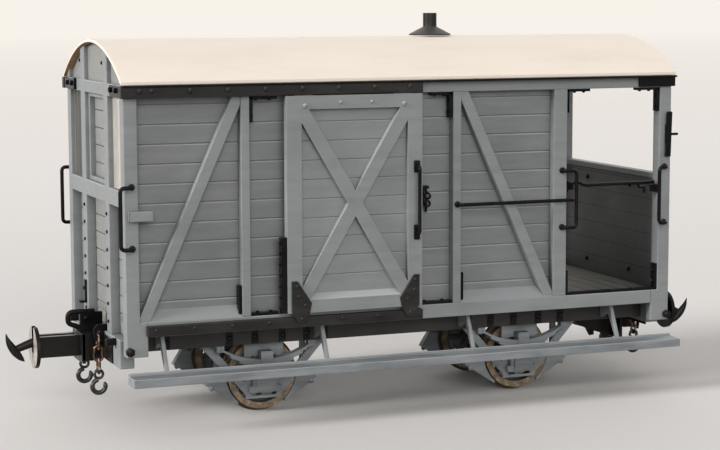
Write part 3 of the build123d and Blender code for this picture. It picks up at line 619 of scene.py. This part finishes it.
def softened(node, width, drop=None, deeper=None):
    # a copy of a CAD piece with its edges eased, standing for that piece
    copy = cadNodes[node].copy()
    copy.data = copy.data.copy()
    copy.parent = None
    bpy.context.scene.collection.objects.link(copy)
    chosen([copy])
    openMesh()
    bpy.ops.mesh.remove_doubles(threshold=easeSettings["join"])
    if drop:
        pickFaces(copy, lambda f: drop(f.calc_center_median() / mm))
        bpy.ops.mesh.delete(type="FACE")
    if deeper:
        # its back face, at the first x, goes in to the second
        pickFaces(copy, lambda f: abs(f.calc_center_median().x / mm - deeper[0]) < easeSettings["near"])
        bpy.ops.transform.translate(value=((deeper[1] - deeper[0]) * mm, 0, 0))
    bpy.ops.mesh.select_all(action="SELECT")
    bpy.ops.mesh.dissolve_limited(angle_limit=math.radians(easeSettings["flat"]))
    closeMesh()
    ease = copy.modifiers.new("ease", "BEVEL")
    ease.width, ease.segments = width * mm, easeSettings["segments"]
    ease.limit_method, ease.angle_limit = "ANGLE", math.radians(easeSettings["angle"])
    ease.use_clamp_overlap = True
    bpy.ops.object.modifier_apply(modifier="ease")
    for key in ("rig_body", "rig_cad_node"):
        if key in copy:
            del copy[key]
    return copy


easedNodes = {
    "corner_posts": 0.3, "cant_rails": 0.25, "bottom_rails": 0.3, "side_uprights": 0.25,
    "side_braces": 0.25, "veranda_end_frame": 0.3, "veranda_arch": 0.2, "door_near": 0.22, "door_far": 0.22,
    "door_rails": 0.2, "door_tracks": 0.2, "door_stops": 0.25, "footboards": 0.25, "headstocks": 0.3,
    "solebars": 0.25, "roof": 0.3, "drawgear_a": 0.25, "drawgear_b": 0.25, "axleboxes": 0.3,
    "springs": 0.12, "w_irons": 0.12, "footboard_hangers": 0.3, "chain_eyes": 0.25, "corner_straps": 0.15,
    "brake_gear": 0.2, "bulkhead_door": 0.2, "sill_fillets": 0.08, "bar_lugs": 0.15, "bar_rests": 0.15,
    "headstock_knees": 0.2,
}
for node, width in easedNodes.items():
    eased = softened(node, width)
    finishPiece(eased, node + "Eased", nodeBody[node], nodeFinish[node], node)
print("edges eased")

# cabin end: boards set well back between deep posts, a thin frame round the upper panel, and the arch above
cabinSettings = {
    "face": -116.1, "back": -114.7, "low": 42.0, "lowBoards": 8, "high": 16.4, "ease": 0.3, "gap": 0.1,
    "foot": 36.0, "joint": 44.4, "pitch": 7.22, "boards": 13, "frameFace": -118.3, "inner": 13.9,
    "outer": 16.2, "frame": (94.9, 96.6, 129.3, 131.0), "lap": 0.2, "edge": (41.4, 42.0), "edgeEase": 0.08,
    "arch": 131.0, "archEase": 0.1, "archFace": -118.2, "post": 0.3,
}


def makeCabinEnd(s):
    boards, rim = [], []
    joints = [s["foot"]] + [s["joint"] + s["pitch"] * i for i in range(s["boards"])]
    for i, (z0, z1) in enumerate(zip(joints, joints[1:])):
        half = s["low"] if i < s["lowBoards"] else s["high"]
        boards.append(plate((s["face"], -half, z0 + s["gap"]), (s["back"], half, z1 - s["gap"]), s["ease"]))
    z0, z1, z2, z3 = s["frame"]
    deep = s["face"] + s["lap"]
    e0, e1 = s["edge"]
    for side in (-1, 1):
        rim.append(plate((s["frameFace"], side * s["inner"], z0), (deep, side * s["outer"], z3)))
        boards.append(plate((s["archFace"], side * e0, z0), (s["back"], side * e1, z3), s["edgeEase"]))
    half = s["inner"] + s["lap"]
    for low, high in ((z0, z1), (z2, z3)):
        rim.append(plate((s["frameFace"], -half, low), (deep, half, high)))
    arch = softened("cabin_end_boards", s["archEase"])
    openMesh()
    bpy.ops.mesh.bisect(plane_co=(0, 0, s["arch"] * mm), plane_no=(0, 0, 1), use_fill=True, clear_inner=True)
    closeMesh()
    arch.data.validate()  # drops faces that lie double where its boards meet
    posts = softened("cabin_end_frame", s["post"], deeper=(s["archFace"], s["face"]))
    boarding, posts = joined(boards + [arch]), joined(rim + [posts])
    finishPiece(boarding, "cabinEndBoarding", "van", endGrey, "cabin_end_boards")
    finishPiece(posts, "cabinEndPosts", "van", bodyGrey, "cabin_end_frame")


makeCabinEnd(cabinSettings)

# handrails and grab rails, bent from round bar, with a pad at each foot
handSettings = {
    "rows": ((-117.2, -122.4), (68.0, 73.2), (117.0, 113.0)), "face": 47.5, "out": 50.7, "low": 73.2,
    "high": 97.1, "radius": 0.8, "bend": 1.6,
}


def railPaths(s):
    y0, y1, high, low = s["face"], s["out"], s["high"], s["low"]
    return [((foot, y0, high), (foot, y1, high), (bar, y1, high),
             (bar, y1, low), (foot, y1, low), (foot, y0, low)) for foot, bar in s["rows"]]


def makeRails(name, node, paths, s):
    # each path on both sides of the van, with a pad wherever it starts or ends on the wall
    rails = []
    for side in (-1, 1):
        for path in paths:
            rails.append(bentBar([(x, side * y, z) for x, y, z in path], s["radius"], s["bend"]))
            feet = [(x, z) for x, y, z in path if y == s["face"]]
            rails += sideHeads("pad", feet, side, s["face"])
    finishIron(rails, name, replaced=node)


makeRails("handrailsBent", "handrails", railPaths(handSettings), handSettings)
grabSettings = {
    "path": ((19.9, 47.5, 84.8), (19.9, 50.7, 84.8), (71.9, 50.7, 84.8)), "face": 47.5, "radius": 0.75,
    "bend": 1.6,
}
makeRails("grabRailsBent", "grab_rails", [grabSettings["path"]], grabSettings)

# safety bars: an eye on the pin, a round bar, and a small bent catch near its end
barSettings = {
    "pivot": (72.6, 90.3), "y": 45.4, "eye": 0.9, "eyeWire": 0.25, "eyeParts": (20, 8), "eyeLong": 2.8,
    "line": (
        (73.5, 90.8, 0.55), (75.3, 91.8, 0.62), (77.2, 91.5, 0.7), (79.2, 90.4, 0.7), (81.5, 90.1, 0.7),
        (86.0, 90.2, 0.7), (97.0, 90.3, 0.7), (108.0, 90.3, 0.7), (113.2, 90.3, 0.7), (113.6, 90.3, 0.35),
    ),
    "catch": ((105.8, 90.3), (105.8, 88.4), (108.6, 88.4), (108.6, 85.9)), "catchBar": (0.6, 0.8, 8, 4),
}


def makeSafetyBar(node, side, s):
    (x, z), y = s["pivot"], side * s["y"]
    eye = ring((x, y, z), (quarter, 0, 0), s["eye"], s["eyeWire"], s["eyeParts"])
    openMesh()
    bpy.ops.transform.resize(value=(1, s["eyeLong"], 1), center_override=(x * mm, y * mm, z * mm))
    closeMesh()
    rod = taperedRod([(bx, y, bz, r) for bx, bz, r in s["line"]])
    catch = bentBar([(cx, y, cz) for cx, cz in s["catch"]], *s["catchBar"])
    finishIron([rod, eye, catch], node + "Round", nodeBody[node], node)


makeSafetyBar("bar_near", -1, barSettings)
makeSafetyBar("bar_far", 1, barSettings)

# bars looped over the couplers, each on an upright plate with a bolt through it
guardSettings = {
    "ends": {-1: 0.0, 1: 2.4}, "radius": 1.05, "bend": 2.0, "foot": 34.4,
    "path": ((121.4, 42.2), (132.4, 42.2), (132.4, 37.6), (127.9, 35.9), (127.5, 34.2)),
    "plate": (118.2, 127.6, 34.3, 41.9), "plateHalf": 1.0, "plateEase": 0.2, "bolt": (125.2, 39.6),
}


def makeGuards(s):
    pieces = []
    for end, drop in s["ends"].items():
        # the top run is level at both ends, and what is below it drops with the coupler
        path = [(end * x, 0, z - drop if i > 1 else z) for i, (x, z) in enumerate(s["path"])]
        pieces.append(bentBar(path, s["radius"], s["bend"]))
        pieces.append(headAt("pad", (path[-1][0], 0, s["foot"] - drop)))
        (x0, x1, z0, z1), half = s["plate"], s["plateHalf"]
        pieces.append(plate((end * x0, -half, z0 - drop), (end * x1, half, z1), s["plateEase"]))
        for side in (-1, 1):
            pieces += sideHeads("stud", ((end * s["bolt"][0], s["bolt"][1]),), side, half)
    finishIron(pieces, "couplerGuardsBent", replaced="coupler_guards")


makeGuards(guardSettings)

# drawhooks: a crescent on an arm, measured from the pin
hookSettings = {
    "pin": {-1: (133.0, 29.5, 0.0), 1: (133.0, 27.1, 4.5)}, "flatten": 0.68, "smooth": 60,
    "arm": (
        (-2.0, 0.2, 1.5), (3.0, 0.8, 1.75), (8.0, 1.7, 1.8), (12.2, 1.8, 1.8), (16.5, 0.4, 1.8),
        (20.4, -1.0, 1.5),
    ),
    "crescent": (
        (24.76, 5.5, 0.12), (24.38, 3.4, 0.74), (23.2, 0.8, 1.5), (21.4, -1.9, 1.8), (19.4, -4.4, 1.35),
        (18.2, -5.6, 0.75), (17.5, -6.3, 0.15),
    ),
}


def makeDrawhook(node, end, s):
    px, pz, dip = s["pin"][end]
    c, n = math.cos(math.radians(dip)), math.sin(math.radians(dip))
    rods = []
    for part in ("arm", "crescent"):
        line = [(end * (px + x * c + z * n), 0, pz - x * n + z * c, r) for x, z, r in s[part]]
        rods.append(taperedRod(line, s["flatten"]))
    finishIron(rods, node + "Forged", nodeBody[node], node, smooth=s["smooth"])


makeDrawhook("hook_a", -1, hookSettings)
makeDrawhook("hook_b", 1, hookSettings)

# safety chains: three long links, a small one and an open hook, made once and copied to the four eyes
chainSettings = {
    "x": 123.0, "y": 12.6, "wire": 0.6, "middle": 1.7, "stretch": 1.45, "linkParts": (24, 10),
    "links": ((31.85, True), (26.85, False), (21.85, True)), "eye": 18.2, "bowl": 13.3, "bowlRadius": 2.75,
    "bowlWire": 0.98, "bowlFlat": 0.8, "steps": 12, "mouth": (96, 395), "tip": 0.35, "smooth": 60,
}


def makeLink(z, across, stretch, s):
    link = ring((0, 0, 0), (quarter, 0, quarter if across else 0), s["middle"], s["wire"], s["linkParts"])
    openMesh()
    for way in (-1, 1):
        pickFaces(link, lambda f: f.calc_center_median().z * way > 0)
        bpy.ops.transform.translate(value=(0, 0, way * stretch * mm))
    closeMesh()
    link.location = (0, 0, z * mm)
    return settle(link)


def makeChain(s):
    pieces = [makeLink(z, across, s["stretch"], s) for z, across in s["links"]]
    pieces.append(makeLink(s["eye"], False, 0.0, s))
    start, end = s["mouth"]
    stations = []
    for i in range(s["steps"] + 1):
        a = math.radians(start + (end - start) * i / s["steps"])
        wire = s["bowlWire"] if i < s["steps"] else s["tip"]
        stations.append((s["bowlRadius"] * math.cos(a), 0, s["bowl"] + s["bowlRadius"] * math.sin(a), wire))
    pieces.append(taperedRod(stations, s["bowlFlat"]))
    return joined(pieces)


def makeChains(s):
    first, chains = makeChain(s), []
    for end in (-1, 1):
        for side in (-1, 1):
            copy = duplicated(first)
            copy.rotation_euler = (0, 0, 0 if end < 0 else math.pi)
            copy.location = (end * s["x"] * mm, side * s["y"] * mm, 0)
            chains.append(settle(copy))
    remove([first])
    chains = joined(chains)
    finishPiece(chains, "chainsForged", "van", chainBrass, "safety_chains", s["smooth"])


makeChains(chainSettings)
print("bars, hooks and chains made")

# sliding doors: corner shoes, handle, edge strip and bolt heads
doorSettings = {
    "left": -55.3, "right": 2.8, "face": 51.3, "shoeFace": 52.2, "shoeTop": 60.0, "shoeEase": 0.2,
    "shoeBolts": ((4.1, 51.2), (7.0, 47.6), (3.7, 55.4), (5.6, 42.2)), "sunk": 0.02, "handleX": 0.2,
    "handleOut": 54.6, "handleHigh": 101.5, "handleLow": 74.5, "handleBar": (0.75, 1.3),
    "handlePads": ((99.0, 103.9), (71.7, 77.8)), "padHalf": 1.3, "padBoltIn": 1.2, "padEase": 0.4,
    "strip": (-57.7, -55.3, 44.7, 75.0), "stripFrom": 48.0, "stripProud": 3.2, "stripHeads": 7,
    "stripHeadY": 49.6, "corners": ((-47.6, 126.9), (-5.3, 126.9)), "top": ((-32.6, 128.0), (-19.2, 128.0)),
}


def makeDoorIrons(node, side, s):
    body = nodeBody[node + "_irons"]
    irons = [softened(node + "_irons", s["shoeEase"], drop=lambda c: c.z > s["shoeTop"])]
    spots = [(s["left"] + x, z) for x, z in s["shoeBolts"]] + [(s["right"] - x, z) for x, z in s["shoeBolts"]]
    irons += sideHeads("rivet", spots, side, s["shoeFace"] - s["sunk"])
    finishIron(irons, node + "Shoes", body, node + "_irons", ironBlack)
    x, y0, y1 = s["handleX"], side * s["shoeFace"], side * s["handleOut"]
    high, low = s["handleHigh"], s["handleLow"]
    irons = [bentBar([(x, y0, high), (x, y1, high), (x, y1, low), (x, y0, low)], *s["handleBar"])]
    pads = [(x - s["padHalf"], x + s["padHalf"], z0, z1) for z0, z1 in s["handlePads"]]
    irons += sidePlates(pads, side, s["face"], s["shoeFace"] - s["face"], s["padEase"])
    ends = [(x, z) for z0, z1 in s["handlePads"] for z in (z0 + s["padBoltIn"], z1 - s["padBoltIn"])]
    irons += sideHeads("rivet", ends, side, s["shoeFace"])
    finishIron(irons, node + "Handle", body)
    strip = sidePlates((s["strip"],), side, s["stripFrom"], s["stripProud"])
    x, _, z0, z1 = s["strip"]
    for i in range(s["stripHeads"]):
        z = z0 + (z1 - z0) / s["stripHeads"] * (i + 0.5)
        strip.append(headAt("rivet", (x, side * s["stripHeadY"], z), "-x"))
    finishIron(strip, node + "Strip", body)
    trim = sideHeads("stud", s["corners"], side, s["face"]) + sideHeads("rivet", s["top"], side, s["face"])
    finishPiece(joined(trim), node + "Trim", body, bodyGrey)


makeDoorIrons("door_near", -1, doorSettings)
makeDoorIrons("door_far", 1, doorSettings)

# rails and tracks: a row of round heads each
rowSettings = {
    "face": 50.6, "count": 8, "railFirst": -2.4, "railZ": 133.8, "railPitch": 15.3, "railEnd": -114.3,
    "trackFirst": -1.2, "trackZ": 41.2, "trackPitch": 15.4,
}


def makeRailHeads(s):
    pieces = []
    rail = [(s["railFirst"] - i * s["railPitch"], s["railZ"]) for i in range(s["count"])]
    rail.append((s["railEnd"], s["railZ"]))
    track = [(s["trackFirst"] - i * s["trackPitch"], s["trackZ"]) for i in range(s["count"])]
    for side in (-1, 1):
        pieces += sideHeads("stud", rail, side, s["face"]) + sideHeads("rivet", track, side, s["face"])
    finishIron(pieces, "railHeads", material=ironBlack)


makeRailHeads(rowSettings)

# angle irons in the corners of the recesses and of the veranda openings, rows as x from, x to, z from, z to
angleSettings = {
    "from": 43.9, "proud": 3.2,
    "rows": (
        (-69.3, -57.8, 129.8, 131.0), (-69.3, -67.8, 120.8, 131.0), (8.5, 18.1, 129.8, 131.0),
        (16.6, 18.1, 120.6, 131.0), (-69.3, -57.8, 43.9, 45.1), (3.4, 18.1, 43.9, 45.1),
        (-74.2, -72.9, 45.0, 56.4), (21.7, 23.0, 45.0, 56.4), (70.3, 81.2, 129.9, 131.0),
        (70.3, 71.5, 121.1, 131.0), (103.4, 114.5, 129.9, 131.0), (113.1, 114.5, 120.9, 131.0),
        (70.3, 71.5, 43.9, 54.5), (113.1, 114.5, 43.9, 55.3), (71.2, 113.6, 43.9, 44.9),
    ),
    "heads": {
        "-z": (
            (-66.0, 129.8), (-60.5, 129.8), (10.5, 129.8), (15.0, 129.8), (74.5, 129.9), (78.8, 129.9),
            (105.6, 129.9), (110.0, 129.9),
        ),
        "-x": ((16.6, 123.0), (16.6, 127.4), (113.1, 123.1), (113.1, 127.2), (113.1, 47.5), (113.1, 52.0)),
        "+x": ((-67.8, 123.0), (-67.8, 127.4), (71.5, 123.1), (71.5, 127.2)),
        "+z": ((-66.0, 45.1), (-60.5, 45.1), (6.0, 45.1), (14.0, 45.1)),
    },
}


def makeAngleIrons(s):
    pieces = []
    for side in (-1, 1):
        pieces += sidePlates(s["rows"], side, s["from"], s["proud"])
        y = side * (s["from"] + s["proud"] / 2)
        pieces += [headAt("rivet", (x, y, z), way) for way, spots in s["heads"].items() for x, z in spots]
    finishIron(pieces, "angleIrons")


makeAngleIrons(angleSettings)

# ends: bolts down the posts, on the boards above, on the straps and on the veranda end's inside
endSettings = {
    "postFace": 120.0, "postY": 19.2, "first": 84.1, "pitch": 7.22, "count": 7, "verandaCount": 6,
    "boardFace": 118.2, "boardBolts": ((30.3, 143.5), (30.3, 133.0), (-8.0, 143.5), (-8.0, 133.0)),
    "strapFace": 121.2, "strapBolts": ((33.6, 134.0), (41.4, 134.0)),
    "strapPlate": (29.6, 31.4, 131.6, 136.2), "innerFace": 116.2,
    "innerBolts": ((19.5, 87.0), (19.5, 49.2)),
}


def makeEndBolts(s):
    rows = [s["first"] - i * s["pitch"] for i in range(s["count"])]
    dark = []
    for y in (-s["postY"], s["postY"]):
        dark += [headAt("rivet", (-s["postFace"], y, z), "-x") for z in rows]
        dark += [headAt("rivet", (s["postFace"], y, z), "+x") for z in rows[:s["verandaCount"]]]
    dark += [headAt("rivet", (-s["boardFace"], y, z), "-x") for y, z in s["boardBolts"]]
    for side in (-1, 1):
        dark += [headAt("nut", (-s["strapFace"], side * y, z), "-x") for y, z in s["strapBolts"]]
        dark += [headAt("nut", (s["strapFace"], side * y, z), "+x") for y, z in s["strapBolts"]]
        dark += [headAt("stud", (s["innerFace"], side * y, z), "-x") for y, z in s["innerBolts"]]
    y0, y1, z0, z1 = s["strapPlate"]
    dark.append(plate((-s["strapFace"], y0, z0), (-s["postFace"], y1, z1)))
    finishIron(dark, "endBolts")


makeEndBolts(endSettings)

# headstocks: nuts, black plates beside the coupler, and the block behind it
headstockSettings = {
    "face": 120.4, "footFace": 47.5, "footNut": (118.9, 33.0), "frontNut": (31.5, 34.6),
    "front": (8.0, 27.2, 25.0, 34.7), "frontProud": 0.7, "block": (128.7, 8.2, 23.0, 34.4),
    "blockEase": 0.35, "drop": {-1: 0.0, 1: 2.4},
}


def makeHeadstockIrons(s):
    pieces, (y, z), (footX, footZ) = [], s["frontNut"], s["footNut"]
    y0, y1, z0, z1 = s["front"]
    x, half, low, high = s["block"]
    for end, drop in s["drop"].items():
        face, front = end * s["face"], end * (s["face"] + s["frontProud"])
        for side in (-1, 1):
            pieces += sideHeads("bigNut", ((end * footX, footZ),), side, s["footFace"])
            pieces.append(headAt("longNut", (face, side * y, z), "-x" if end < 0 else "+x"))
            pieces.append(plate((face, side * y0, z0), (front, side * y1, z1)))
        pieces.append(plate((end * x, -half, low - drop), (face, half, high - drop), s["blockEase"]))
    finishIron(pieces, "headstockIrons")


makeHeadstockIrons(headstockSettings)

# underframe: bolted plates on the solebars, bolts of the brakes and axle guards
frameSettings = {
    "axles": (-58.0, 58.0), "soleFace": 33.6, "plateSteps": (-16.2, -5.4, 6.3, 16.8),
    "plate": (1.4, 30.4, 36.6), "plateProud": 0.6, "boltZ": 33.2, "hangers": (-104.3, -37.4, 27.4, 95.1),
    "hangerBolt": 3.9, "brakeFace": 25.4, "brakeBolts": ((-21.6, 11.2), (21.6, 11.2)), "coverFace": 31.6,
    "coverBolts": ((-3.9, 10.9), (3.9, 10.9), (-3.9, 17.6), (3.9, 17.6)), "lid": (-3.4, 3.4, 12.6, 16.0),
    "lidProud": 0.5, "lidEase": 0.3,
}


def makeUnderframeBolts(s):
    half, z0, z1 = s["plate"]
    x0, x1, z2, z3 = s["lid"]
    dark, pale = [], []
    spots = [axle + step for axle in s["axles"] for step in s["plateSteps"]]
    spots += [x + s["hangerBolt"] for x in s["hangers"]]
    plates = [(x - half, x + half, z0, z1) for x in spots]
    for side in (-1, 1):
        dark += sidePlates(plates, side, s["soleFace"], s["plateProud"])
        dark += sideHeads("stud", [(x, s["boltZ"]) for x in spots], side, s["soleFace"] + s["plateProud"])
        for axle in s["axles"]:
            pale += sideHeads("stud", [(axle + x, z) for x, z in s["brakeBolts"]], side, s["brakeFace"])
            pale += sideHeads("rivet", [(axle + x, z) for x, z in s["coverBolts"]], side, s["coverFace"])
            lid = (axle + x0, axle + x1, z2, z3)
            pale += sidePlates([lid], side, s["coverFace"], s["lidProud"], s["lidEase"])
    finishIron(dark, "solebarPlates")
    finishPiece(joined(pale), "runningBolts", "van", runningGrey)


makeUnderframeBolts(frameSettings)

# hasp by the door: a bracket, a bent arm, a chain of four links and two drop pins
haspSettings = {
    "face": 43.5, "out": 1.7, "bracket": (4.6, 8.2, 91.6, 92.8), "bracketProud": 2.3, "bracketEase": 0.3,
    "arm": ((5.4, 92.2), (5.4, 90.0), (7.0, 87.6)), "armBar": (0.5, 0.8, 8, 4),
    "links": ((6.3, 90.4, 0.5), (7.6, 88.6, -0.6), (6.6, 86.8, 0.8), (7.5, 85.4, -0.3)), "ring": 1.15,
    "wire": 0.42, "ringParts": (14, 8), "pins": (((6.9, 86.4), (6.9, 82.2)), ((5.6, 88.0), (5.0, 82.6))),
    "pinRadius": 0.55, "pinHead": 0.35, "pinTip": 0.2, "pinPoint": 0.3,
}


def makeHasps(s):
    pieces, thick = [], s["pinRadius"]
    for side in (-1, 1):
        y = side * (s["face"] + s["out"])
        pieces += sidePlates((s["bracket"],), side, s["face"], s["bracketProud"], s["bracketEase"])
        pieces.append(bentBar([(x, y, z) for x, z in s["arm"]], *s["armBar"]))
        for x, z, lean in s["links"]:
            pieces.append(ring((x, y, z), (quarter, lean, lean), s["ring"], s["wire"], s["ringParts"]))
        for (x0, z0), (x1, z1) in s["pins"]:
            pieces.append(taperedRod([(x0, y, z0, s["pinHead"]), (x0, y, z0, thick),
                                      ((x0 + x1) / 2, y, (z0 + z1) / 2, thick), (x1, y, z1, thick),
                                      (x1, y, z1 - s["pinPoint"], s["pinTip"])]))
    finishIron(pieces, "doorHasps")


makeHasps(haspSettings)

# chimney: a short pipe on a wide brim that throws the rain off its foot
chimneySettings = {
    "x": 29.0, "y": 2.0, "pipe": 2.95, "wall": 0.6, "top": 162.6, "neck": 156.6, "neckOut": 0.25,
    "neckRise": 0.4, "brim": 9.0, "brimLow": 153.6, "brimThick": 0.5, "sides": 40,
}


def makeChimney(s):
    at = Vector((s["x"], s["y"], s["brimLow"] - s["brimThick"])) * mm
    wide = s["brim"]
    clearSelection()
    bpy.ops.mesh.primitive_circle_add(vertices=s["sides"], radius=wide * mm, fill_type="NGON", location=at)
    stack = settleActive()
    openMesh()
    # brim edge, cone, pipe, then down inside the pipe: how far up, and how wide it is there
    inside = s["pipe"] - s["wall"]
    steps = ((s["brimThick"], s["brim"]), (s["neck"] - s["brimLow"], s["pipe"] + s["neckOut"]),
             (s["neckRise"], s["pipe"]), (s["top"] - s["neck"] - s["neckRise"], s["pipe"]), (0.0, inside),
             (s["neck"] - s["top"], inside))
    for rise, radius in steps:
        bpy.ops.mesh.extrude_region_move(TRANSFORM_OT_translate={"value": (0, 0, rise * mm)})
        at.z += rise * mm
        bpy.ops.transform.resize(value=(radius / wide, radius / wide, 1), center_override=at)
        wide = radius
    cleanMesh()
    finishPiece(stack, "chimneyTurned", nodeBody["chimney"], ironBlack, "chimney")


makeChimney(chimneySettings)

# thin black strips under the roof sheet along both sides: painted shade, standing for the shadow under the
# roof's overhang
roofShadeSettings = {"row": (-120.7, 120.7, 135.3, 136.15), "from": 46.8, "proud": 4.3, "ease": 0.15}


def makeRoofShadeStrips(s):
    pieces = [sidePlates((s["row"],), side, s["from"], s["proud"], s["ease"])[0] for side in (-1, 1)]
    finishIron(pieces, "roofShadeStrips")


makeRoofShadeStrips(roofShadeSettings)

# lamp irons: a low one on the cabin end, and a leaning plate stood off each veranda corner post, with a peg
lampSettings = {
    "lowPlates": ((-120.9, -120.0, 42.8, 52.4), (-123.2, -120.9, 42.8, 43.7)), "lowY": (18.0, 20.4),
    "lowBolt": 49.0, "x": 118.1, "lean": 0.25, "half": 1.9, "low": 101.4, "high": 120.6, "face": 47.5,
    "gap": 1.1, "thick": 1.0, "narrow": 0.6, "ease": 0.2, "endWithin": 0.6, "pegZ": 111.0, "pegOut": 122.4,
    "pegHalf": 0.55, "footHalf": (1.0, 4.0),
}


def makeLampIrons(s):
    y0, y1 = s["lowY"]
    pieces = [plate((x0, y0, z0), (x1, y1, z1)) for x0, x1, z0, z1 in s["lowPlates"]]
    pieces.append(headAt("rivet", (s["lowPlates"][0][0], (y0 + y1) / 2, s["lowBolt"]), "-x"))
    x, z, peg = s["x"], s["pegZ"], s["pegHalf"]
    wide, tall = s["footHalf"]
    for side in (-1, 1):
        y0, y1 = side * (s["face"] + s["gap"]), side * (s["face"] + s["gap"] + s["thick"])
        iron = plate((x - s["half"], y0, s["low"]), (x + s["half"], y1, s["high"]), s["ease"])
        openMesh()
        for end, lean in ((s["high"], s["lean"]), (s["low"], -s["lean"])):
            pickFaces(iron, lambda f: abs(f.calc_center_median().z / mm - end) < s["endWithin"])
            bpy.ops.transform.resize(value=(s["narrow"], 1, 1), center_override=(x * mm, 0, end * mm))
            bpy.ops.transform.translate(value=(lean * mm, 0, 0))
        closeMesh()
        pieces.append(iron)
        middle = (y0 + y1) / 2
        pieces.append(plate((x - wide, side * s["face"], z - tall), (x + wide, y0, z + tall)))
        pieces.append(plate((x, middle - peg, z - peg), (s["pegOut"], middle + peg, z + peg)))
    finishIron(pieces, "lampIronsForged", nodeBody["lamp_irons"], "lamp_irons")


makeLampIrons(lampSettings)
remove(list(heads.values()))
print("bolts, plates and irons made")

# floor, backdrop and light: the floor's stops are a distance in metres and a screen colour
stageSettings = {
    "floor": (
        (0.3, (219, 215, 211)), (1.1, (228, 223, 218)), (2.2, (235, 229, 223)), (8.0, (248, 242, 234)),
    ),
    "size": 60, "far": 8.0, "fade": (0.5, 2.2), "bounce": (84, 80, 75), "rough": 0.9, "room": 0.3,
    "roomTone": (0.97, 0.98, 1.0, 1),
}
# each lamp has its strength, the size of its disc in degrees, and the way it shines
lampRows = {
    "keyLight": (3.7, 18, (0.93, 0.1, -0.32)), "frontLight": (2.15, 45, (0.15, 0.9, -0.25)),
    "backLight": (0.9, 80, (-0.3, -0.9, -0.35)),
}


def paleRays(tree):
    # 1 for what is seen straight, mirrored or through glass, and 0 for light that spreads
    rays = tree.nodes.new("ShaderNodeLightPath")
    total = rays.outputs["Is Camera Ray"]
    for key in ("Is Glossy Ray", "Is Transmission Ray"):
        more = tree.nodes.new("ShaderNodeMath")
        more.operation = "MAXIMUM"
        tree.links.new(total, more.inputs[0])
        tree.links.new(rays.outputs[key], more.inputs[1])
        total = more.outputs[0]
    return total


def addSun(name, strength, size, way):
    light = bpy.data.lights.new(name, "SUN")
    light.energy, light.angle = strength, math.radians(size)
    lamp = bpy.data.objects.new(name, light)
    bpy.context.scene.collection.objects.link(lamp)
    lamp.rotation_euler = Vector(way).to_track_quat("-Z", "Y").to_euler()


def addFloor(s):
    clearSelection()
    bpy.ops.mesh.primitive_plane_add(size=s["size"], location=(0, 0, 0))
    floor = bpy.context.active_object
    floor.name = "paleFloor"
    f = Finish("paleFloor")
    stops = [(y / s["far"], colour) for y, colour in s["floor"]]
    pale = f.ramp(f.spread(f.place(1), 0.0, s["far"]), stops)
    f.colour(f.mix(paleRays(f.tree), tone(*s["bounce"]), pale))
    # further back it is seen at its own colour, like a lit backdrop
    glow, both = f.add("ShaderNodeEmission"), f.add("ShaderNodeMixShader")
    f.link(pale, glow.inputs["Color"])
    f.link(f.math("MULTIPLY", paleRays(f.tree), f.spread(f.place(1), *s["fade"])), both.inputs[0])
    f.link(f.shader.outputs[0], both.inputs[1])
    f.link(glow.outputs[0], both.inputs[2])
    f.link(both.outputs[0], f.tree.nodes["Material Output"].inputs["Surface"])
    f.preset(f.shader, Roughness=s["rough"])
    floor.data.materials.append(f.material)


def addRoom(s):
    world = bpy.data.worlds.new("softRoom")
    bpy.context.scene.world = world
    world.use_nodes = True
    tree = world.node_tree
    room = tree.nodes["Background"]
    room.inputs["Color"].default_value = s["roomTone"]
    room.inputs["Strength"].default_value = s["room"]
    # seen straight, in metal or through glass, the room is pale
    seenRoom = tree.nodes.new("ShaderNodeBackground")
    seenRoom.inputs["Color"].default_value = tone(*s["floor"][-1][1])
    mixed = tree.nodes.new("ShaderNodeMixShader")
    for a, b in ((paleRays(tree), 0), (room.outputs[0], 1), (seenRoom.outputs[0], 2)):
        tree.links.new(a, mixed.inputs[b])
    tree.links.new(mixed.outputs[0], tree.nodes["World Output"].inputs[0])


addFloor(stageSettings)
addRoom(stageSettings)
for name, row in lampRows.items():
    addSun(name, *row)
print("stage set")
